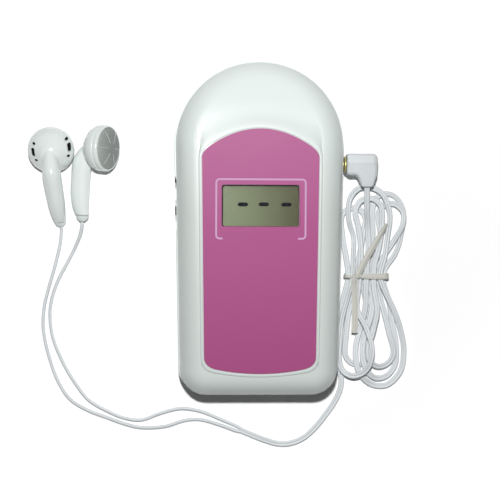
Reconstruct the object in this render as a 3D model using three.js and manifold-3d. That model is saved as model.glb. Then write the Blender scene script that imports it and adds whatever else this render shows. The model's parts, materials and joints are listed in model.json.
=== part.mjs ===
// Pocket fetal doppler monitor with a pair of earphones, lying on its back with its face up.
// Millimetres. +X is the plug side, +Y the arched end, +Z up. The origin is the middle of the rest face.

import * as THREE from 'three';
import { mergeVertices } from 'three/addons/utils/BufferGeometryUtils.js';
import Module from 'manifold-3d';

const wasm = await Module();
wasm.setup();

// Shared clearances
const gap = 0.3;
const overrun = 1;
const weld = 1e-4;

// Facets on round pieces
const largeSides = 40;
const roundSides = 20;
const smallSides = 12;

// Case outline, seen from the front
const caseHalfWidth = 30.4;
const archCentreY = 29.4;
const sideTaper = 1.7;
const endHalfWidth = caseHalfWidth - sideTaper;
const footY = -60;
const cornerRadius = 10;
const leastCorner = 0.8;
const archSteps = 24;
const cornerSteps = 5;

// Case section
const seamZ = 14;
const rise = 12.6;
const frontLip = 0.6;
const frontRun = 7.8;
const rearRise = 6;
const rearRun = 5;
const wall = 2;
const outerCurveSteps = 6;
const innerCurveSteps = 3;
const plateauInsets = [15, 22];
const crownStartY = 36;
const crownDrop = 4;
const faceZ = seamZ + rise;

// Panel on the face: a raised pad that carries the coloured label
const padGrow = 1.25;
const padHeight = 0.4;
const labelTopHalf = 20.4;
const labelBottomHalf = 19.5;
const labelSideTopY = 25.2;
const labelSideBottomY = -44.5;
const labelApexY = 34.6;
const labelFootY = -50.6;
const labelShoulderX = 17.4;
const labelShoulderY = 28.7;
const labelHeelX = 15;
const labelHeelY = -49.1;
const labelThickness = 0.3;
const labelSeat = 0.1;
const labelCurveSteps = 8;

// Display
const windowHalfWidth = 13.5;
const windowHalfHeight = 7.25;
const windowCentreY = 7.9;
const windowCorner = 0.8;
const lensBorder = 1.5;
const lensThickness = 0.9;
const lensSeat = 0.1;
const glassHalfWidth = 16;
const glassHalfHeight = 8.8;
const glassThickness = 2.2;
const glassDrop = 1.2;
const frameWall = 1.4;
const zebraWidth = 1.8;
const zebraEnd = 1.5;

// Main board
const boardZ = 14.2;
const boardThickness = 1.6;
const boardInset = 3.2;
const boardTopY = 44;
const boardBottomY = -2.6;
const standoffRadius = 2.6;
const boardScrewRadius = 0.9;
const boardScrewHead = 1.8;
const boardScrewHeadHeight = 1.2;
const boardScrewDepth = 6;
const frameHalfWidth = glassHalfWidth + gap + frameWall;
const boardScrewMiddle = (frameHalfWidth + caseHalfWidth - boardInset) / 2;
const boardScrewX = [boardScrewMiddle, -boardScrewMiddle];
const boardScrewY = [8, 27];
const chipHeight = 1.5;
const controllerSide = 10;
const controllerX = -7;
const controllerY = 29;
const amplifierLength = 9;
const amplifierWidth = 5;
const amplifierX = 9;
const amplifierY = 27;
const capacitorRadius = 3.1;
const capacitorHeight = 5.5;
const capacitorX = 9;
const capacitorY = 36.5;

// Ultrasound probe under the arched end
const probeAhead = 4.6;
const probeY = archCentreY + probeAhead;
const probeRadius = 14;
const collarWall = 1.8;
const collarTopZ = 8;
const lensPlateThickness = 1.8;
const crystalMargin = 3.5;
const crystalRadius = probeRadius - crystalMargin;
const crystalThickness = 1;
const dividerWidth = 0.6;
const backingMargin = 1.5;
const backingRadius = probeRadius - backingMargin;
const backingThickness = 3;
const probeCapThickness = 1.2;

// Thumbwheel
const wheelRadius = 9;
const wheelSunk = 0.1;
const wheelX = wheelRadius + wheelSunk - caseHalfWidth;
const wheelY = 8;
const wheelBottomZ = 6.4;
const wheelThickness = 3;
const wheelTeeth = 32;
const toothDepth = 0.35;
const shaftRadius = 1.5;
const wheelScrewHead = 1.9;
const wheelScrewHeadHeight = 0.8;
const potSide = 11;
const slotHalfLength = 6.3;
const scoopDepth = 0.9;
const scoopLowY = -2.9;
const scoopHighY = 19.4;
const scoopRamp = 2.8;
const scoopBottomZ = 4.6;

// Headphone socket and plug
const socketY = 23.3;
const socketZ = 10;
const socketHalfWidth = 3.6;
const socketBottomZ = 7;
const socketNoseRadius = 2.8;
const socketNoseSunk = 0.3;
const socketShoulderSunk = 3;
const socketShoulderX = caseHalfWidth - socketShoulderSunk;
const socketEnd = 0.8;
const pinRadius = 1.75;
const pinLength = 14;
const pinClearance = 0.1;
const pinBandLength = 2.6;
const pinInsulator = 0.6;
const pinTipShares = [[0.72, 0], [0.72, 0.2], [1, 0.42], [1, 0.6]];
const collarRadius = 2.9;
const collarLength = 0.9;
const plugHalf = 3.8;
const plugArmLength = 11.2;
const plugLegHalfTop = 3.3;
const plugLegHalfEnd = 2.1;
const plugLegBack = 3.6;
const plugLegLength = 8.1;
const plugLegSideShare = 0.6;
const plugRidge = 0.8;
const plugCorner = 1.4;

// Battery bay, door and two AA cells
const cellRadius = 7.1;
const cellLength = 48.6;
const cellChamfer = 0.6;
const cellNubRadius = 2.6;
const cellNubLength = 1.2;
const baySideRoom = 0.6;
const bayHalfWidth = 2 * (cellRadius + gap) + baySideRoom;
const bayLowY = -57.8;
const bayHighY = -4.2;
const bayWall = 1.2;
const bayTopZ = 17.1;
const bayFloorZ = 2.2;
const openingTopY = -9;
const doorLap = 2.3;
const doorHalfWidth = bayHalfWidth + doorLap;
const doorTopY = -6.8;
const doorSkin = 1.1;
const doorPadTopZ = 1.9;
const gripCount = 5;
const gripPitch = 1.6;
const gripWidth = 0.7;
const gripDepth = 0.4;
const gripHalfLength = 7;
const gripTopY = -13;
const contactThickness = 0.4;
const contactHalf = 4.4;
const springWire = 0.6;
const springWide = 3.6;
const springNarrow = 1.8;
const springTurns = 2.5;
const springStepsPerTurn = 10;
const springSides = 5;

// Case screws
const screwArchEdge = 14.9;
const screwFootEdge = 6.2;
const screwArchAhead = 19.1;
const screwFootBack = 12;
const screwArchX = caseHalfWidth - screwArchEdge;
const screwFootX = endHalfWidth - screwFootEdge;
const screwX = [screwArchX, -screwArchX, screwFootX, -screwFootX];
const screwArchY = archCentreY + screwArchAhead;
const screwFootY = footY + screwFootBack;
const screwY = [screwArchY, screwArchY, screwFootY, screwFootY];
const bossRadius = 3;
const screwRadius = 1.1;
const screwHeadRadius = 2.3;
const screwHeadLowZ = 0.8;
const screwHeadHeight = 1.8;
const screwTopZ = 20;
const screwClearance = 0.3;

// Cord: a flat twin lead that splits into two round leads
const cordWidth = 2.1;
const cordThickness = 1.1;
const leadDiameter = 1.2;
const cordStep = 5.2;
const cordSides = 8;

// Hank: loops of the cord heaped on each other and drawn in at a waist
const hankWaistX = 40.4;
const hankWaistY = -17.6;
const hankWaistHalf = 6.75;
const hankLoops = 5;
const hankStepsPerPoint = 2;
const hankClearRings = 3;
const hankSides = 6;

// Tie round the waist of the hank
const tieWidth = 2.4;
const tieThickness = 0.4;
const tieTopZ = 5.9;
const tieTailLength = 21;
const tieTailHalf = 1.15;
const tieTailX = 36;
const tieTailTilt = THREE.MathUtils.degToRad(-30.8);
const tieTailTiltLength = 23;
const knotRadius = 1.9;
const knotHeight = 1.9;

// Cord routes, chosen by hand along the surface
const leadInRoute = [
  [39.5, 14.9, 10], [39.9, 7.6, 7.6], [40.8, 0.8, 4], [41.2, -6.9, 3.6],
];
const hankRoute = [
  [41.19, -7.29, 3.61], [40.5, -14.7, 4.1], [40.3, -22.6, 4], [40, -30.3, 3.2], [38.4, -37.6, 1.3],
  [36.7, -45.1, 2.4], [37.7, -52.5, 3.7], [42.5, -57.8, 1.5], [48.5, -58.4, 1.1],
  [53.6, -53.5, 1.2], [55, -45.8, 1.3], [53.7, -38.2, 2.2], [51.1, -30.9, 3.5], [47.7, -23.9, 4.1],
  [45.5, -17.8, 4.1], [47.2, -10.1, 4], [48.3, -2.4, 3.5], [48.9, 5.6, 4.3], [46.2, 12.8, 4],
  [42.4, 15.2, 3], [37.9, 15.1, 3.1], [34.2, 11.2, 4.1], [33.8, 3.8, 3], [35.9, -3.5, 1.3],
  [35.5, -10.9, 3.2], [35.1, -18.5, 4.1], [33.4, -26.1, 3.6], [31.4, -33.7, 3.8],
  [30.7, -41.4, 3.8], [30.5, -49.1, 3.6], [31.9, -52.7, 4], [35.4, -54.4, 5.3], [40, -52.1, 7],
  [42.1, -45, 8.3], [40.3, -37.1, 6.8], [37.1, -29.7, 3.5], [37.5, -22.3, 3.9], [38, -14.5, 4.2],
  [38.3, -6.8, 3.8], [37.3, 1, 3.5], [36.2, 6.6, 3.7], [38.1, 10.2, 3.7], [42.1, 11.2, 3.7],
  [45.5, 8.7, 3.8], [46, 1, 3.8], [45, -6.7, 3.9], [43.2, -14.2, 4.1], [43.2, -22, 4.4],
  [44.2, -29.8, 5.9], [42.9, -37.4, 5.3], [41, -45.1, 5.3], [42, -49.1, 4.8], [45.2, -51.1, 3.5],
  [49, -49.8, 2.8], [50.8, -46.2, 3.1], [49.1, -38.4, 3.3], [47.3, -30.8, 2.3], [45.3, -23.4, 1.5],
  [44.2, -17.6, 1.9], [46.2, -12.2, 1.2], [50.1, -5.7, 1.9], [53.7, 1.4, 4], [53.8, 6.5, 3.8],
  [50.9, 9.2, 2.5], [47.4, 8.6, 1.4], [45.2, 5.6, 1], [45.9, -2.3, 1.2], [44.1, -10.1, 1.3],
  [41.6, -17.6, 1.9], [42.9, -25.2, 2.1], [42.1, -32.6, 3.8], [39.8, -40.2, 3.1],
  [39.3, -48.1, 3.5], [41.1, -53, 3.5], [44.5, -55.6, 2.2], [48.8, -54.8, 1.2], [51.8, -50.6, 1.1],
  [52, -42.8, 1.1], [50.6, -35.1, 1.1], [49.4, -27.3, 1.1], [47.1, -19.9, 1.8], [47.3, -15.6, 1.9],
  [51.8, -8.8, 1.2], [54, -1.1, 1.1], [54.5, 6.8, 1.1], [51.8, 11.6, 1], [47.8, 13.1, 1.1],
  [44.2, 11.2, 1.1], [42.7, 5.9, 1.6], [43, -2.2, 1.4], [41.3, -9.8, 1.1], [39.1, -17.3, 1.9],
  [40.2, -24.9, 1.1], [41.8, -32.5, 1], [42.5, -40.5, 1.1], [42.5, -47.5, 1.1], [39.6, -50.4, 1],
  [35.7, -50.3, 1.1], [33.1, -47.2, 1.2], [33.4, -39.5, 1.2], [34.2, -31.7, 1.1], [36, -24.1, 1.5],
  [36.7, -16.2, 1.9], [38.4, -8.9, 1.1], [39.6, -1.4, 1.1], [40.3, 3.9, 1], [38.2, 7, 1.1],
  [34.6, 7.5, 1.1], [31.6, 5, 1.1], [31.8, -3, 1.1], [33.1, -10.6, 1.5], [33.9, -18.1, 1.9],
  [32.3, -25.8, 1.2], [31.1, -33.5, 1.1], [30.4, -41.3, 1.1], [30.24, -46.61, 0.98],
];
const tailRoute = [
  [30.24, -46.95, 0.98], [30.05, -49.1, 0.95], [30.9, -52.6, 0.9], [31.7, -56.2, 0.85], [31.2, -60, 0.85],
  [29.4, -64.2, 0.85], [26, -69.2, 0.85], [21.9, -74.3, 0.85], [17.4, -78.2, 0.85], [12.6, -80.1, 0.85],
  [8, -80.2, 0.85],
  [3.3, -78.9, 0.85], [-1.6, -77, 0.85], [-6.4, -74.9, 0.85],
];
const leftLeadRoute = [
  [-6.95, -75.55, 0.85], [-13.5, -73.2, 0.8], [-21, -71.1, 0.8], [-26.5, -71.4, 0.8], [-33.9, -73.6, 0.8],
  [-42.8, -74, 0.8], [-48.7, -72.7, 0.8], [-55, -70.4, 0.8], [-62.7, -67.4, 0.8], [-69.2, -63.2, 0.8],
  [-73.6, -56.3, 0.8], [-76.4, -48.6, 0.8], [-78.2, -41.5, 0.8], [-78.9, -35.9, 0.8], [-78.6, -30.4, 0.8],
  [-77.8, -26, 0.8], [-76.4, -20.8, 0.8], [-74.9, -15.6, 0.8], [-73.6, -10.5, 0.8], [-72.5, -5.4, 0.8],
  [-72.13, -0.9, 1], [-72.15, 0.4, 1.5],
];
const rightLeadRoute = [
  [-6.75, -73.95, 0.85], [-13.5, -71, 0.8], [-21, -68, 0.8], [-28.4, -67, 0.8], [-35.8, -68.8, 0.8],
  [-42.8, -71.2, 0.8], [-49.1, -70.4, 0.8], [-55, -68, 0.8], [-62.2, -63.7, 0.8], [-66.1, -58.9, 0.8],
  [-69.7, -53.3, 0.8], [-72.7, -47.4, 0.8], [-74.9, -41.9, 0.8], [-76.1, -36.3, 0.8], [-76.3, -30.4, 0.8],
  [-75.6, -26, 0.8], [-74.2, -21.5, 0.8], [-72.2, -17, 0.8], [-70, -13, 0.8], [-67.4, -7.9, 1],
  [-65.1, -2.6, 2.9], [-64.27, 0.8, 3.9], [-64.2, 2, 3.93],
];

// Earphone, in its own frame: the sound leaves along +Z and the stem runs along -Y
const budRimRadius = 8.3;
const budFaceRadius = 7.6;
const budRimDepth = 2;
const budRimWall = 1.4;
const budGrilleRadius = 6.5;
const budGrilleDome = 0.9;
const budGrilleThickness = 0.5;
const budDriverDepth = 3;
const budShell = 1.1;
const budStemOffset = 11.8;
const budStemTop = 3.5;
const budStemLength = 24.8;
const budStemAcross = 3.2;
const budStemDeep = 3.7;
const budBootLength = 1.8;
const budBootTipRadius = 1.05;
const budSides = 24;
const stemSides = 16;
const bowlTipShare = 0.88;
const grilleDomeShare = 0.75;
const driverRadiusShare = 0.9;
const bootShares = [[0, 1], [0.5, 0.86], [1, 0]];

// Bowl behind the rim, as depth and radius shares of the stem offset and the rim radius
const bowlShares = [[0.2, 1], [0.3, 1], [0.42, 0.95], [0.57, 0.8], [0.7, 0.58], [0.8, 0.39], [0.86, 0.16]];
// Stem stations, as shares of its length, its half sizes across and deep, and its forward shift
const stemShares = [
  [0, 0.4, 0.4, 1.16], [0.085, 0.65, 0.65, 0.89], [0.186, 0.88, 0.89, 0.46], [0.288, 1.02, 0.985, 0.13],
  [0.39, 1.03, 1, 0.03], [0.56, 0.99, 1, 0], [0.73, 0.94, 0.985, 0], [0.898, 0.8, 0.865, 0.16],
  [0.983, 0.69, 0.7, 0.35], [1, 0.66, 0.65, 0.4],
];

// Where the earphones lie
const leftBud = { x: -75.3, y: 29.2, z: 3.42, tilt: 24.5, turn: 6.35, lean: 180 };
const rightBud = { x: -53.7, y: 28.6, z: 9.3, tilt: 1.5, turn: -2.8, lean: 63 };

// Materials
function plastic(color, roughness) {
  return new THREE.MeshStandardMaterial({ color, roughness, metalness: 0 });
}

function metal(color, roughness) {
  return new THREE.MeshStandardMaterial({ color, roughness, metalness: 1 });
}

const lensOpacity = 0.25;

const finish = {
  shell: plastic(0xdfe6e4, 0.35),
  label: plastic(0xb05c90, 0.45),
  lens: plastic(0xeef2f0, 0.08),
  display: plastic(0x8a9070, 0.3),
  dark: plastic(0x2c2e30, 0.6),
  elastomer: plastic(0x55585a, 0.8),
  board: plastic(0x2f6b45, 0.5),
  ceramic: plastic(0xd9d2c4, 0.5),
  foam: plastic(0x8a7f70, 0.9),
  probe: plastic(0xcfd3d2, 0.5),
  steel: metal(0xb9bcc0, 0.35),
  gold: metal(0xd9b45a, 0.25),
  cell: metal(0x6f7d8c, 0.4),
  cord: plastic(0xd9dddf, 0.5),
  bud: plastic(0xe2e8e5, 0.25),
  grille: plastic(0xa9adab, 0.5),
  tie: plastic(0xcfcfc4, 0.6),
};

finish.lens.transparent = true;
finish.lens.opacity = lensOpacity;

// Solids and cuts
function toSolid(geometry) {
  const bare = geometry.index ? geometry.toNonIndexed() : geometry.clone();
  bare.deleteAttribute('normal');
  bare.deleteAttribute('uv');
  const merged = mergeVertices(bare, weld);
  const corners = merged.index.array;
  const kept = [];
  for (let i = 0; i < corners.length; i += 3) {
    const [a, b, c] = [corners[i], corners[i + 1], corners[i + 2]];
    if (a !== b && b !== c && c !== a) kept.push(a, b, c);
  }
  const vertProperties = Float32Array.from(merged.attributes.position.array);
  return new wasm.Manifold(new wasm.Mesh({ numProp: 3, vertProperties, triVerts: Uint32Array.from(kept) }));
}

function toGeometry(solid) {
  const mesh = solid.getMesh();
  const geometry = new THREE.BufferGeometry();
  geometry.setAttribute('position', new THREE.BufferAttribute(Float32Array.from(mesh.vertProperties), 3));
  geometry.setIndex(new THREE.BufferAttribute(Uint32Array.from(mesh.triVerts), 1));
  geometry.computeVertexNormals();
  return geometry;
}

function join(first, ...others) {
  return others.reduce((solid, other) => solid.add(toSolid(other)), toSolid(first));
}

function carve(solid, ...cutters) {
  return cutters.reduce((rest, cutter) => rest.subtract(toSolid(cutter)), solid);
}

// Plain shapes, given by where they start and end
function block(x, y, z) {
  const shape = new THREE.BoxGeometry(x[1] - x[0], y[1] - y[0], z[1] - z[0]);
  return shape.translate((x[0] + x[1]) / 2, (y[0] + y[1]) / 2, (z[0] + z[1]) / 2);
}

function post(radius, x, y, z, sides = roundSides) {
  const shape = new THREE.CylinderGeometry(radius, radius, z[1] - z[0], sides);
  return shape.rotateX(Math.PI / 2).translate(x, y, (z[0] + z[1]) / 2);
}

function rodAlongX(radius, x, y, z, sides = roundSides) {
  const shape = new THREE.CylinderGeometry(radius, radius, x[1] - x[0], sides);
  return shape.rotateZ(Math.PI / 2).translate((x[0] + x[1]) / 2, y, z);
}

function prism(shape, z, curveSegments = labelCurveSteps) {
  const depth = z[1] - z[0];
  const geometry = new THREE.ExtrudeGeometry(shape, { depth, bevelEnabled: false, curveSegments });
  return geometry.translate(0, 0, z[0]);
}

// A solid of revolution about +Z from points of radius and height, listed from the lowest up
function turned(profile, sides = 24) {
  const points = profile.map(([radius, height]) => new THREE.Vector2(radius, height));
  return new THREE.LatheGeometry(points, sides).rotateX(Math.PI / 2);
}

function roundedRectangle(halfX, halfY, corner) {
  const shape = new THREE.Shape();
  shape.moveTo(halfX, corner - halfY);
  shape.lineTo(halfX, halfY - corner);
  shape.quadraticCurveTo(halfX, halfY, halfX - corner, halfY);
  shape.lineTo(corner - halfX, halfY);
  shape.quadraticCurveTo(-halfX, halfY, -halfX, halfY - corner);
  shape.lineTo(-halfX, corner - halfY);
  shape.quadraticCurveTo(-halfX, -halfY, corner - halfX, -halfY);
  shape.lineTo(halfX - corner, -halfY);
  shape.quadraticCurveTo(halfX, -halfY, halfX, corner - halfY);
  return shape;
}

// A skin over rings that have the same count, with a fan over each end
function loft(rings) {
  const count = rings[0].length;
  const ends = [rings[0], rings[rings.length - 1]];
  const centres = ends.map((ring) => {
    const sum = ring.reduce((total, point) => total.add(point), new THREE.Vector3());
    return sum.divideScalar(count);
  });
  const places = [...rings.flat(), ...centres];
  const lowCentre = places.length - 2;
  const highCentre = places.length - 1;
  const lastRing = (rings.length - 1) * count;
  const index = [];
  for (let side = 0; side < count; side += 1) {
    const next = (side + 1) % count;
    index.push(lowCentre, next, side, highCentre, lastRing + side, lastRing + next);
    for (let ring = 0; ring < rings.length - 1; ring += 1) {
      const low = ring * count;
      const high = low + count;
      index.push(low + side, low + next, high + next, low + side, high + next, high + side);
    }
  }
  const geometry = new THREE.BufferGeometry();
  geometry.setAttribute('position', new THREE.Float32BufferAttribute(places.flatMap((p) => p.toArray()), 3));
  geometry.setIndex(index);
  geometry.computeVertexNormals();
  return geometry;
}

// Case outline drawn in by an inset, anticlockwise from the right end of the arch
function caseOutline(inset) {
  const arch = caseHalfWidth - inset;
  const end = endHalfWidth - inset;
  const corner = Math.max(cornerRadius - inset, leastCorner);
  const low = footY + inset;
  const points = [];
  for (let i = 0; i <= archSteps; i += 1) {
    const angle = (Math.PI * i) / archSteps;
    points.push([arch * Math.cos(angle), archCentreY + arch * Math.sin(angle)]);
  }
  for (const side of [-1, 1]) {
    for (let i = 0; i <= cornerSteps; i += 1) {
      const angle = (Math.PI / 2) * (i / cornerSteps) + Math.PI + (side < 0 ? 0 : Math.PI / 2);
      const x = side * (end - corner) + corner * Math.cos(angle);
      points.push([x, low + corner + corner * Math.sin(angle)]);
    }
  }
  return points;
}

function caseRing(inset, z) {
  return caseOutline(inset).map(([x, y]) => new THREE.Vector3(x, y, z));
}

// The front falls away towards the arched end
function crown(ring) {
  return ring.map((point) => {
    const past = Math.max(point.y - crownStartY, 0) / (archCentreY + caseHalfWidth - crownStartY);
    const height = point.z - seamZ;
    return new THREE.Vector3(point.x, point.y, point.z - (crownDrop * past * past * height) / rise);
  });
}

function curveStepsAt(thickness) {
  return thickness > 0 ? innerCurveSteps : outerCurveSteps;
}

function frontForm(thickness, startZ) {
  const rings = [caseRing(frontLip + thickness, startZ)];
  const curveSteps = curveStepsAt(thickness);
  for (let i = 1; i <= curveSteps; i += 1) {
    const angle = (Math.PI / 2) * (i / curveSteps);
    const inset = frontLip + thickness + frontRun * (1 - Math.cos(angle));
    rings.push(crown(caseRing(inset, seamZ + gap / 2 + (rise - gap / 2 - thickness) * Math.sin(angle))));
  }
  for (const inset of plateauInsets) {
    rings.push(crown(caseRing(inset + thickness, faceZ - thickness)));
  }
  return loft(rings);
}

function rearForm(thickness, endZ) {
  const rings = [];
  const curveSteps = curveStepsAt(thickness);
  for (let i = 0; i <= curveSteps; i += 1) {
    const angle = (Math.PI / 2) * (i / curveSteps);
    const inset = thickness + rearRun * (1 - Math.sin(angle));
    rings.push(caseRing(inset, thickness + (rearRise - thickness) * (1 - Math.cos(angle))));
  }
  rings.push(caseRing(thickness, endZ));
  return loft(rings);
}

// Face panel outline, grown outwards
function panelShape(grow) {
  const shape = new THREE.Shape();
  const crest = 2 * (labelApexY + grow) - (labelShoulderY + grow);
  const foot = 2 * (labelFootY - grow) - (labelHeelY - grow);
  shape.moveTo(labelBottomHalf + grow, labelSideBottomY);
  shape.lineTo(labelTopHalf + grow, labelSideTopY);
  shape.quadraticCurveTo(labelTopHalf + grow, labelShoulderY, labelShoulderX + grow, labelShoulderY + grow);
  shape.quadraticCurveTo(0, crest, -labelShoulderX - grow, labelShoulderY + grow);
  shape.quadraticCurveTo(-labelTopHalf - grow, labelShoulderY, -labelTopHalf - grow, labelSideTopY);
  shape.lineTo(-labelBottomHalf - grow, labelSideBottomY);
  shape.quadraticCurveTo(-labelBottomHalf - grow, labelHeelY, -labelHeelX - grow, labelHeelY - grow);
  shape.quadraticCurveTo(0, foot, labelHeelX + grow, labelHeelY - grow);
  shape.quadraticCurveTo(labelBottomHalf + grow, labelHeelY, labelBottomHalf + grow, labelSideBottomY);
  return shape;
}

function windowShape(grow) {
  return roundedRectangle(windowHalfWidth + grow, windowHalfHeight + grow, windowCorner);
}

const padZ = faceZ + padHeight;
const labelLowZ = padZ - labelThickness;
const labelFloorZ = labelLowZ - labelSeat;
const lensTopZ = labelFloorZ - lensSeat;
const lensFloorZ = lensTopZ - lensThickness - lensSeat;
const boardTopZ = boardZ + boardThickness;

// Front shell
function frontShell() {
  const outer = toSolid(frontForm(0, seamZ + gap / 2));
  const pad = toSolid(prism(panelShape(padGrow), [faceZ - wall / 2, padZ]));
  const core = toSolid(frontForm(wall / 2, seamZ - overrun));
  let shell = outer.add(pad).subtract(toSolid(frontForm(wall, seamZ - overrun)));
  for (let i = 0; i < screwX.length; i += 1) {
    const column = toSolid(post(bossRadius, screwX[i], screwY[i], [seamZ + gap / 2, faceZ]));
    shell = shell.add(column.intersect(core));
    const pilotZ = [seamZ - overrun, screwTopZ + gap];
    shell = shell.subtract(toSolid(post(screwRadius + screwClearance, screwX[i], screwY[i], pilotZ)));
  }
  const lensHole = prism(windowShape(lensBorder + gap), [lensFloorZ, faceZ + overrun]);
  const aperture = prism(windowShape(0), [faceZ - 2 * wall, faceZ]);
  return carve(
    shell,
    prism(panelShape(gap / 2), [labelFloorZ, padZ + overrun]),
    lensHole.translate(0, windowCentreY, 0),
    aperture.translate(0, windowCentreY, 0),
  );
}

function faceLabel() {
  const shape = panelShape(0);
  const centre = new THREE.Vector2(0, windowCentreY);
  const hole = windowShape(0).getPoints(labelCurveSteps);
  shape.holes.push(new THREE.Path(hole.map((point) => point.add(centre))));
  return prism(shape, [labelLowZ, padZ]);
}

// Rear shell with the battery tray, the probe collar, the screw bosses and the board standoffs
function rearShell() {
  const topZ = seamZ - gap / 2;
  const body = toSolid(rearForm(0, topZ));
  let shell = body.subtract(toSolid(rearForm(wall, topZ + overrun)));
  const trayHalf = bayHalfWidth + bayWall;
  const trayY = [footY + wall, bayHighY + bayWall];
  const tray = block([-trayHalf, trayHalf], trayY, [wall / 2, bayTopZ + bayWall]);
  const trayRoom = toSolid(rearForm(wall / 2, topZ)).add(toSolid(frontForm(wall + gap, topZ - overrun)));
  shell = shell.add(toSolid(tray).intersect(trayRoom));
  shell = shell.add(toSolid(post(probeRadius + collarWall, 0, probeY, [wall / 2, collarTopZ], largeSides)));
  for (let i = 0; i < screwX.length; i += 1) {
    shell = shell.add(toSolid(post(bossRadius, screwX[i], screwY[i], [wall / 2, topZ])));
  }
  for (let i = 0; i < boardScrewX.length; i += 1) {
    const standoff = post(standoffRadius, boardScrewX[i], boardScrewY[i], [wall / 2, boardZ - gap]);
    shell = shell.add(toSolid(standoff));
    const pilotZ = [boardZ + boardThickness - boardScrewDepth - gap, boardZ];
    const pilot = post(boardScrewRadius + gap, boardScrewX[i], boardScrewY[i], pilotZ, smallSides);
    shell = shell.subtract(toSolid(pilot));
  }
  for (let i = 0; i < screwX.length; i += 1) {
    const [x, y] = [screwX[i], screwY[i]];
    const seatZ = screwHeadLowZ + screwHeadHeight + gap;
    const counterbore = post(screwHeadRadius + screwClearance, x, y, [-overrun, seatZ]);
    const bore = post(screwRadius + screwClearance, x, y, [0, topZ + overrun], smallSides);
    shell = carve(shell, counterbore, bore);
  }
  return carve(shell, ...rearCuts());
}

function rearCuts() {
  const out = footY - overrun;
  const doorCut = doorHalfWidth + gap;
  const probeHole = post(probeRadius + gap / 2, 0, probeY, [-overrun, collarTopZ + overrun], largeSides);
  const noseX = [socketShoulderX, caseHalfWidth + overrun];
  const noseHole = rodAlongX(socketNoseRadius + gap, noseX, socketY, socketZ);
  return [
    block([-bayHalfWidth, bayHalfWidth], [bayLowY, bayHighY], [bayFloorZ, bayTopZ]),
    block([-bayHalfWidth, bayHalfWidth], [out, openingTopY], [-overrun, bayFloorZ + gap]),
    block([-doorCut, doorCut], [out, doorTopY + gap], [-overrun, doorSkin + gap]),
    probeHole,
    noseHole,
    scoopCut(),
    wheelSlot(),
  ];
}

function scoopCut() {
  const deep = scoopDepth - caseHalfWidth;
  const outside = -caseHalfWidth - overrun;
  const flare = scoopRamp * (1 + overrun / scoopDepth);
  const shape = new THREE.Shape();
  shape.moveTo(outside, scoopLowY + scoopRamp - flare);
  shape.lineTo(deep, scoopLowY + scoopRamp);
  shape.lineTo(deep, scoopHighY - scoopRamp);
  shape.lineTo(outside, scoopHighY - scoopRamp + flare);
  return prism(shape, [scoopBottomZ, seamZ + overrun]);
}

function wheelSlot() {
  const z = [wheelBottomZ - gap, wheelBottomZ + wheelThickness + gap];
  const y = [wheelY - slotHalfLength, wheelY + slotHalfLength];
  return block([-caseHalfWidth - overrun, -caseHalfWidth + 2 * wall], y, z);
}

// Battery door: a skin that follows the rear of the case, with a pad that fills the opening
function batteryDoor() {
  const out = footY - overrun;
  const skin = block([-doorHalfWidth, doorHalfWidth], [out, doorTopY], [-overrun, doorSkin]);
  const padHalf = bayHalfWidth - gap;
  const pad = block([-padHalf, padHalf], [out, openingTopY - gap], [0, doorPadTopZ]);
  const grooves = [];
  for (let i = 0; i < gripCount; i += 1) {
    const y = gripTopY - i * gripPitch;
    grooves.push(block([-gripHalfLength, gripHalfLength], [y - gripWidth, y], [-overrun, gripDepth]));
  }
  return carve(join(skin, pad).intersect(toSolid(rearForm(0, seamZ))), ...grooves);
}

// Battery cell along Y, its nub at the +Y end
function cell() {
  const profile = [
    [0, 0], [cellRadius - cellChamfer, 0], [cellRadius, cellChamfer], [cellRadius, cellLength],
    [cellNubRadius, cellLength], [cellNubRadius, cellLength + cellNubLength], [0, cellLength + cellNubLength],
  ];
  return turned(profile, roundSides).rotateX(-Math.PI / 2);
}

// Tube of a flattened section along points, with square ends
function sweep(points, halfWidth, halfHeight, sides, up) {
  const last = points.length - 1;
  const rings = points.map((point, i) => {
    const before = points[Math.max(i - 1, 0)];
    const after = points[Math.min(i + 1, last)];
    const along = after.clone().sub(before).normalize();
    const across = up.clone().cross(along).normalize();
    const rising = along.clone().cross(across);
    const ring = [];
    for (let side = 0; side < sides; side += 1) {
      const angle = (2 * Math.PI * side) / sides;
      const sideways = across.clone().multiplyScalar(halfWidth * Math.cos(angle));
      ring.push(point.clone().add(sideways).add(rising.clone().multiplyScalar(halfHeight * Math.sin(angle))));
    }
    return ring;
  });
  return loft(rings);
}

// Conical battery spring that narrows along +Y
function contactSpring(length) {
  const steps = Math.round(springTurns * springStepsPerTurn);
  const points = [];
  for (let i = 0; i <= steps; i += 1) {
    const share = i / steps;
    const radius = springWide + (springNarrow - springWide) * share;
    const angle = 2 * Math.PI * springTurns * share;
    const y = springWire / 2 + (length - springWire) * share;
    points.push(new THREE.Vector3(radius * Math.cos(angle), y, -radius * Math.sin(angle)));
  }
  return sweep(points, springWire / 2, springWire / 2, springSides, new THREE.Vector3(0, 1, 0));
}

// Thumbwheel with a milled rim
function thumbwheel() {
  const shape = new THREE.Shape();
  for (let i = 0; i < wheelTeeth * 2; i += 1) {
    const angle = (Math.PI * i) / wheelTeeth;
    const radius = i % 2 ? wheelRadius - toothDepth : wheelRadius;
    const place = [radius * Math.cos(angle), radius * Math.sin(angle)];
    if (i === 0) shape.moveTo(...place);
    else shape.lineTo(...place);
  }
  const hole = new THREE.Path();
  hole.absarc(0, 0, shaftRadius + gap, 0, 2 * Math.PI, true);
  shape.holes.push(hole);
  return prism(shape, [wheelBottomZ, wheelBottomZ + wheelThickness]);
}

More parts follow.
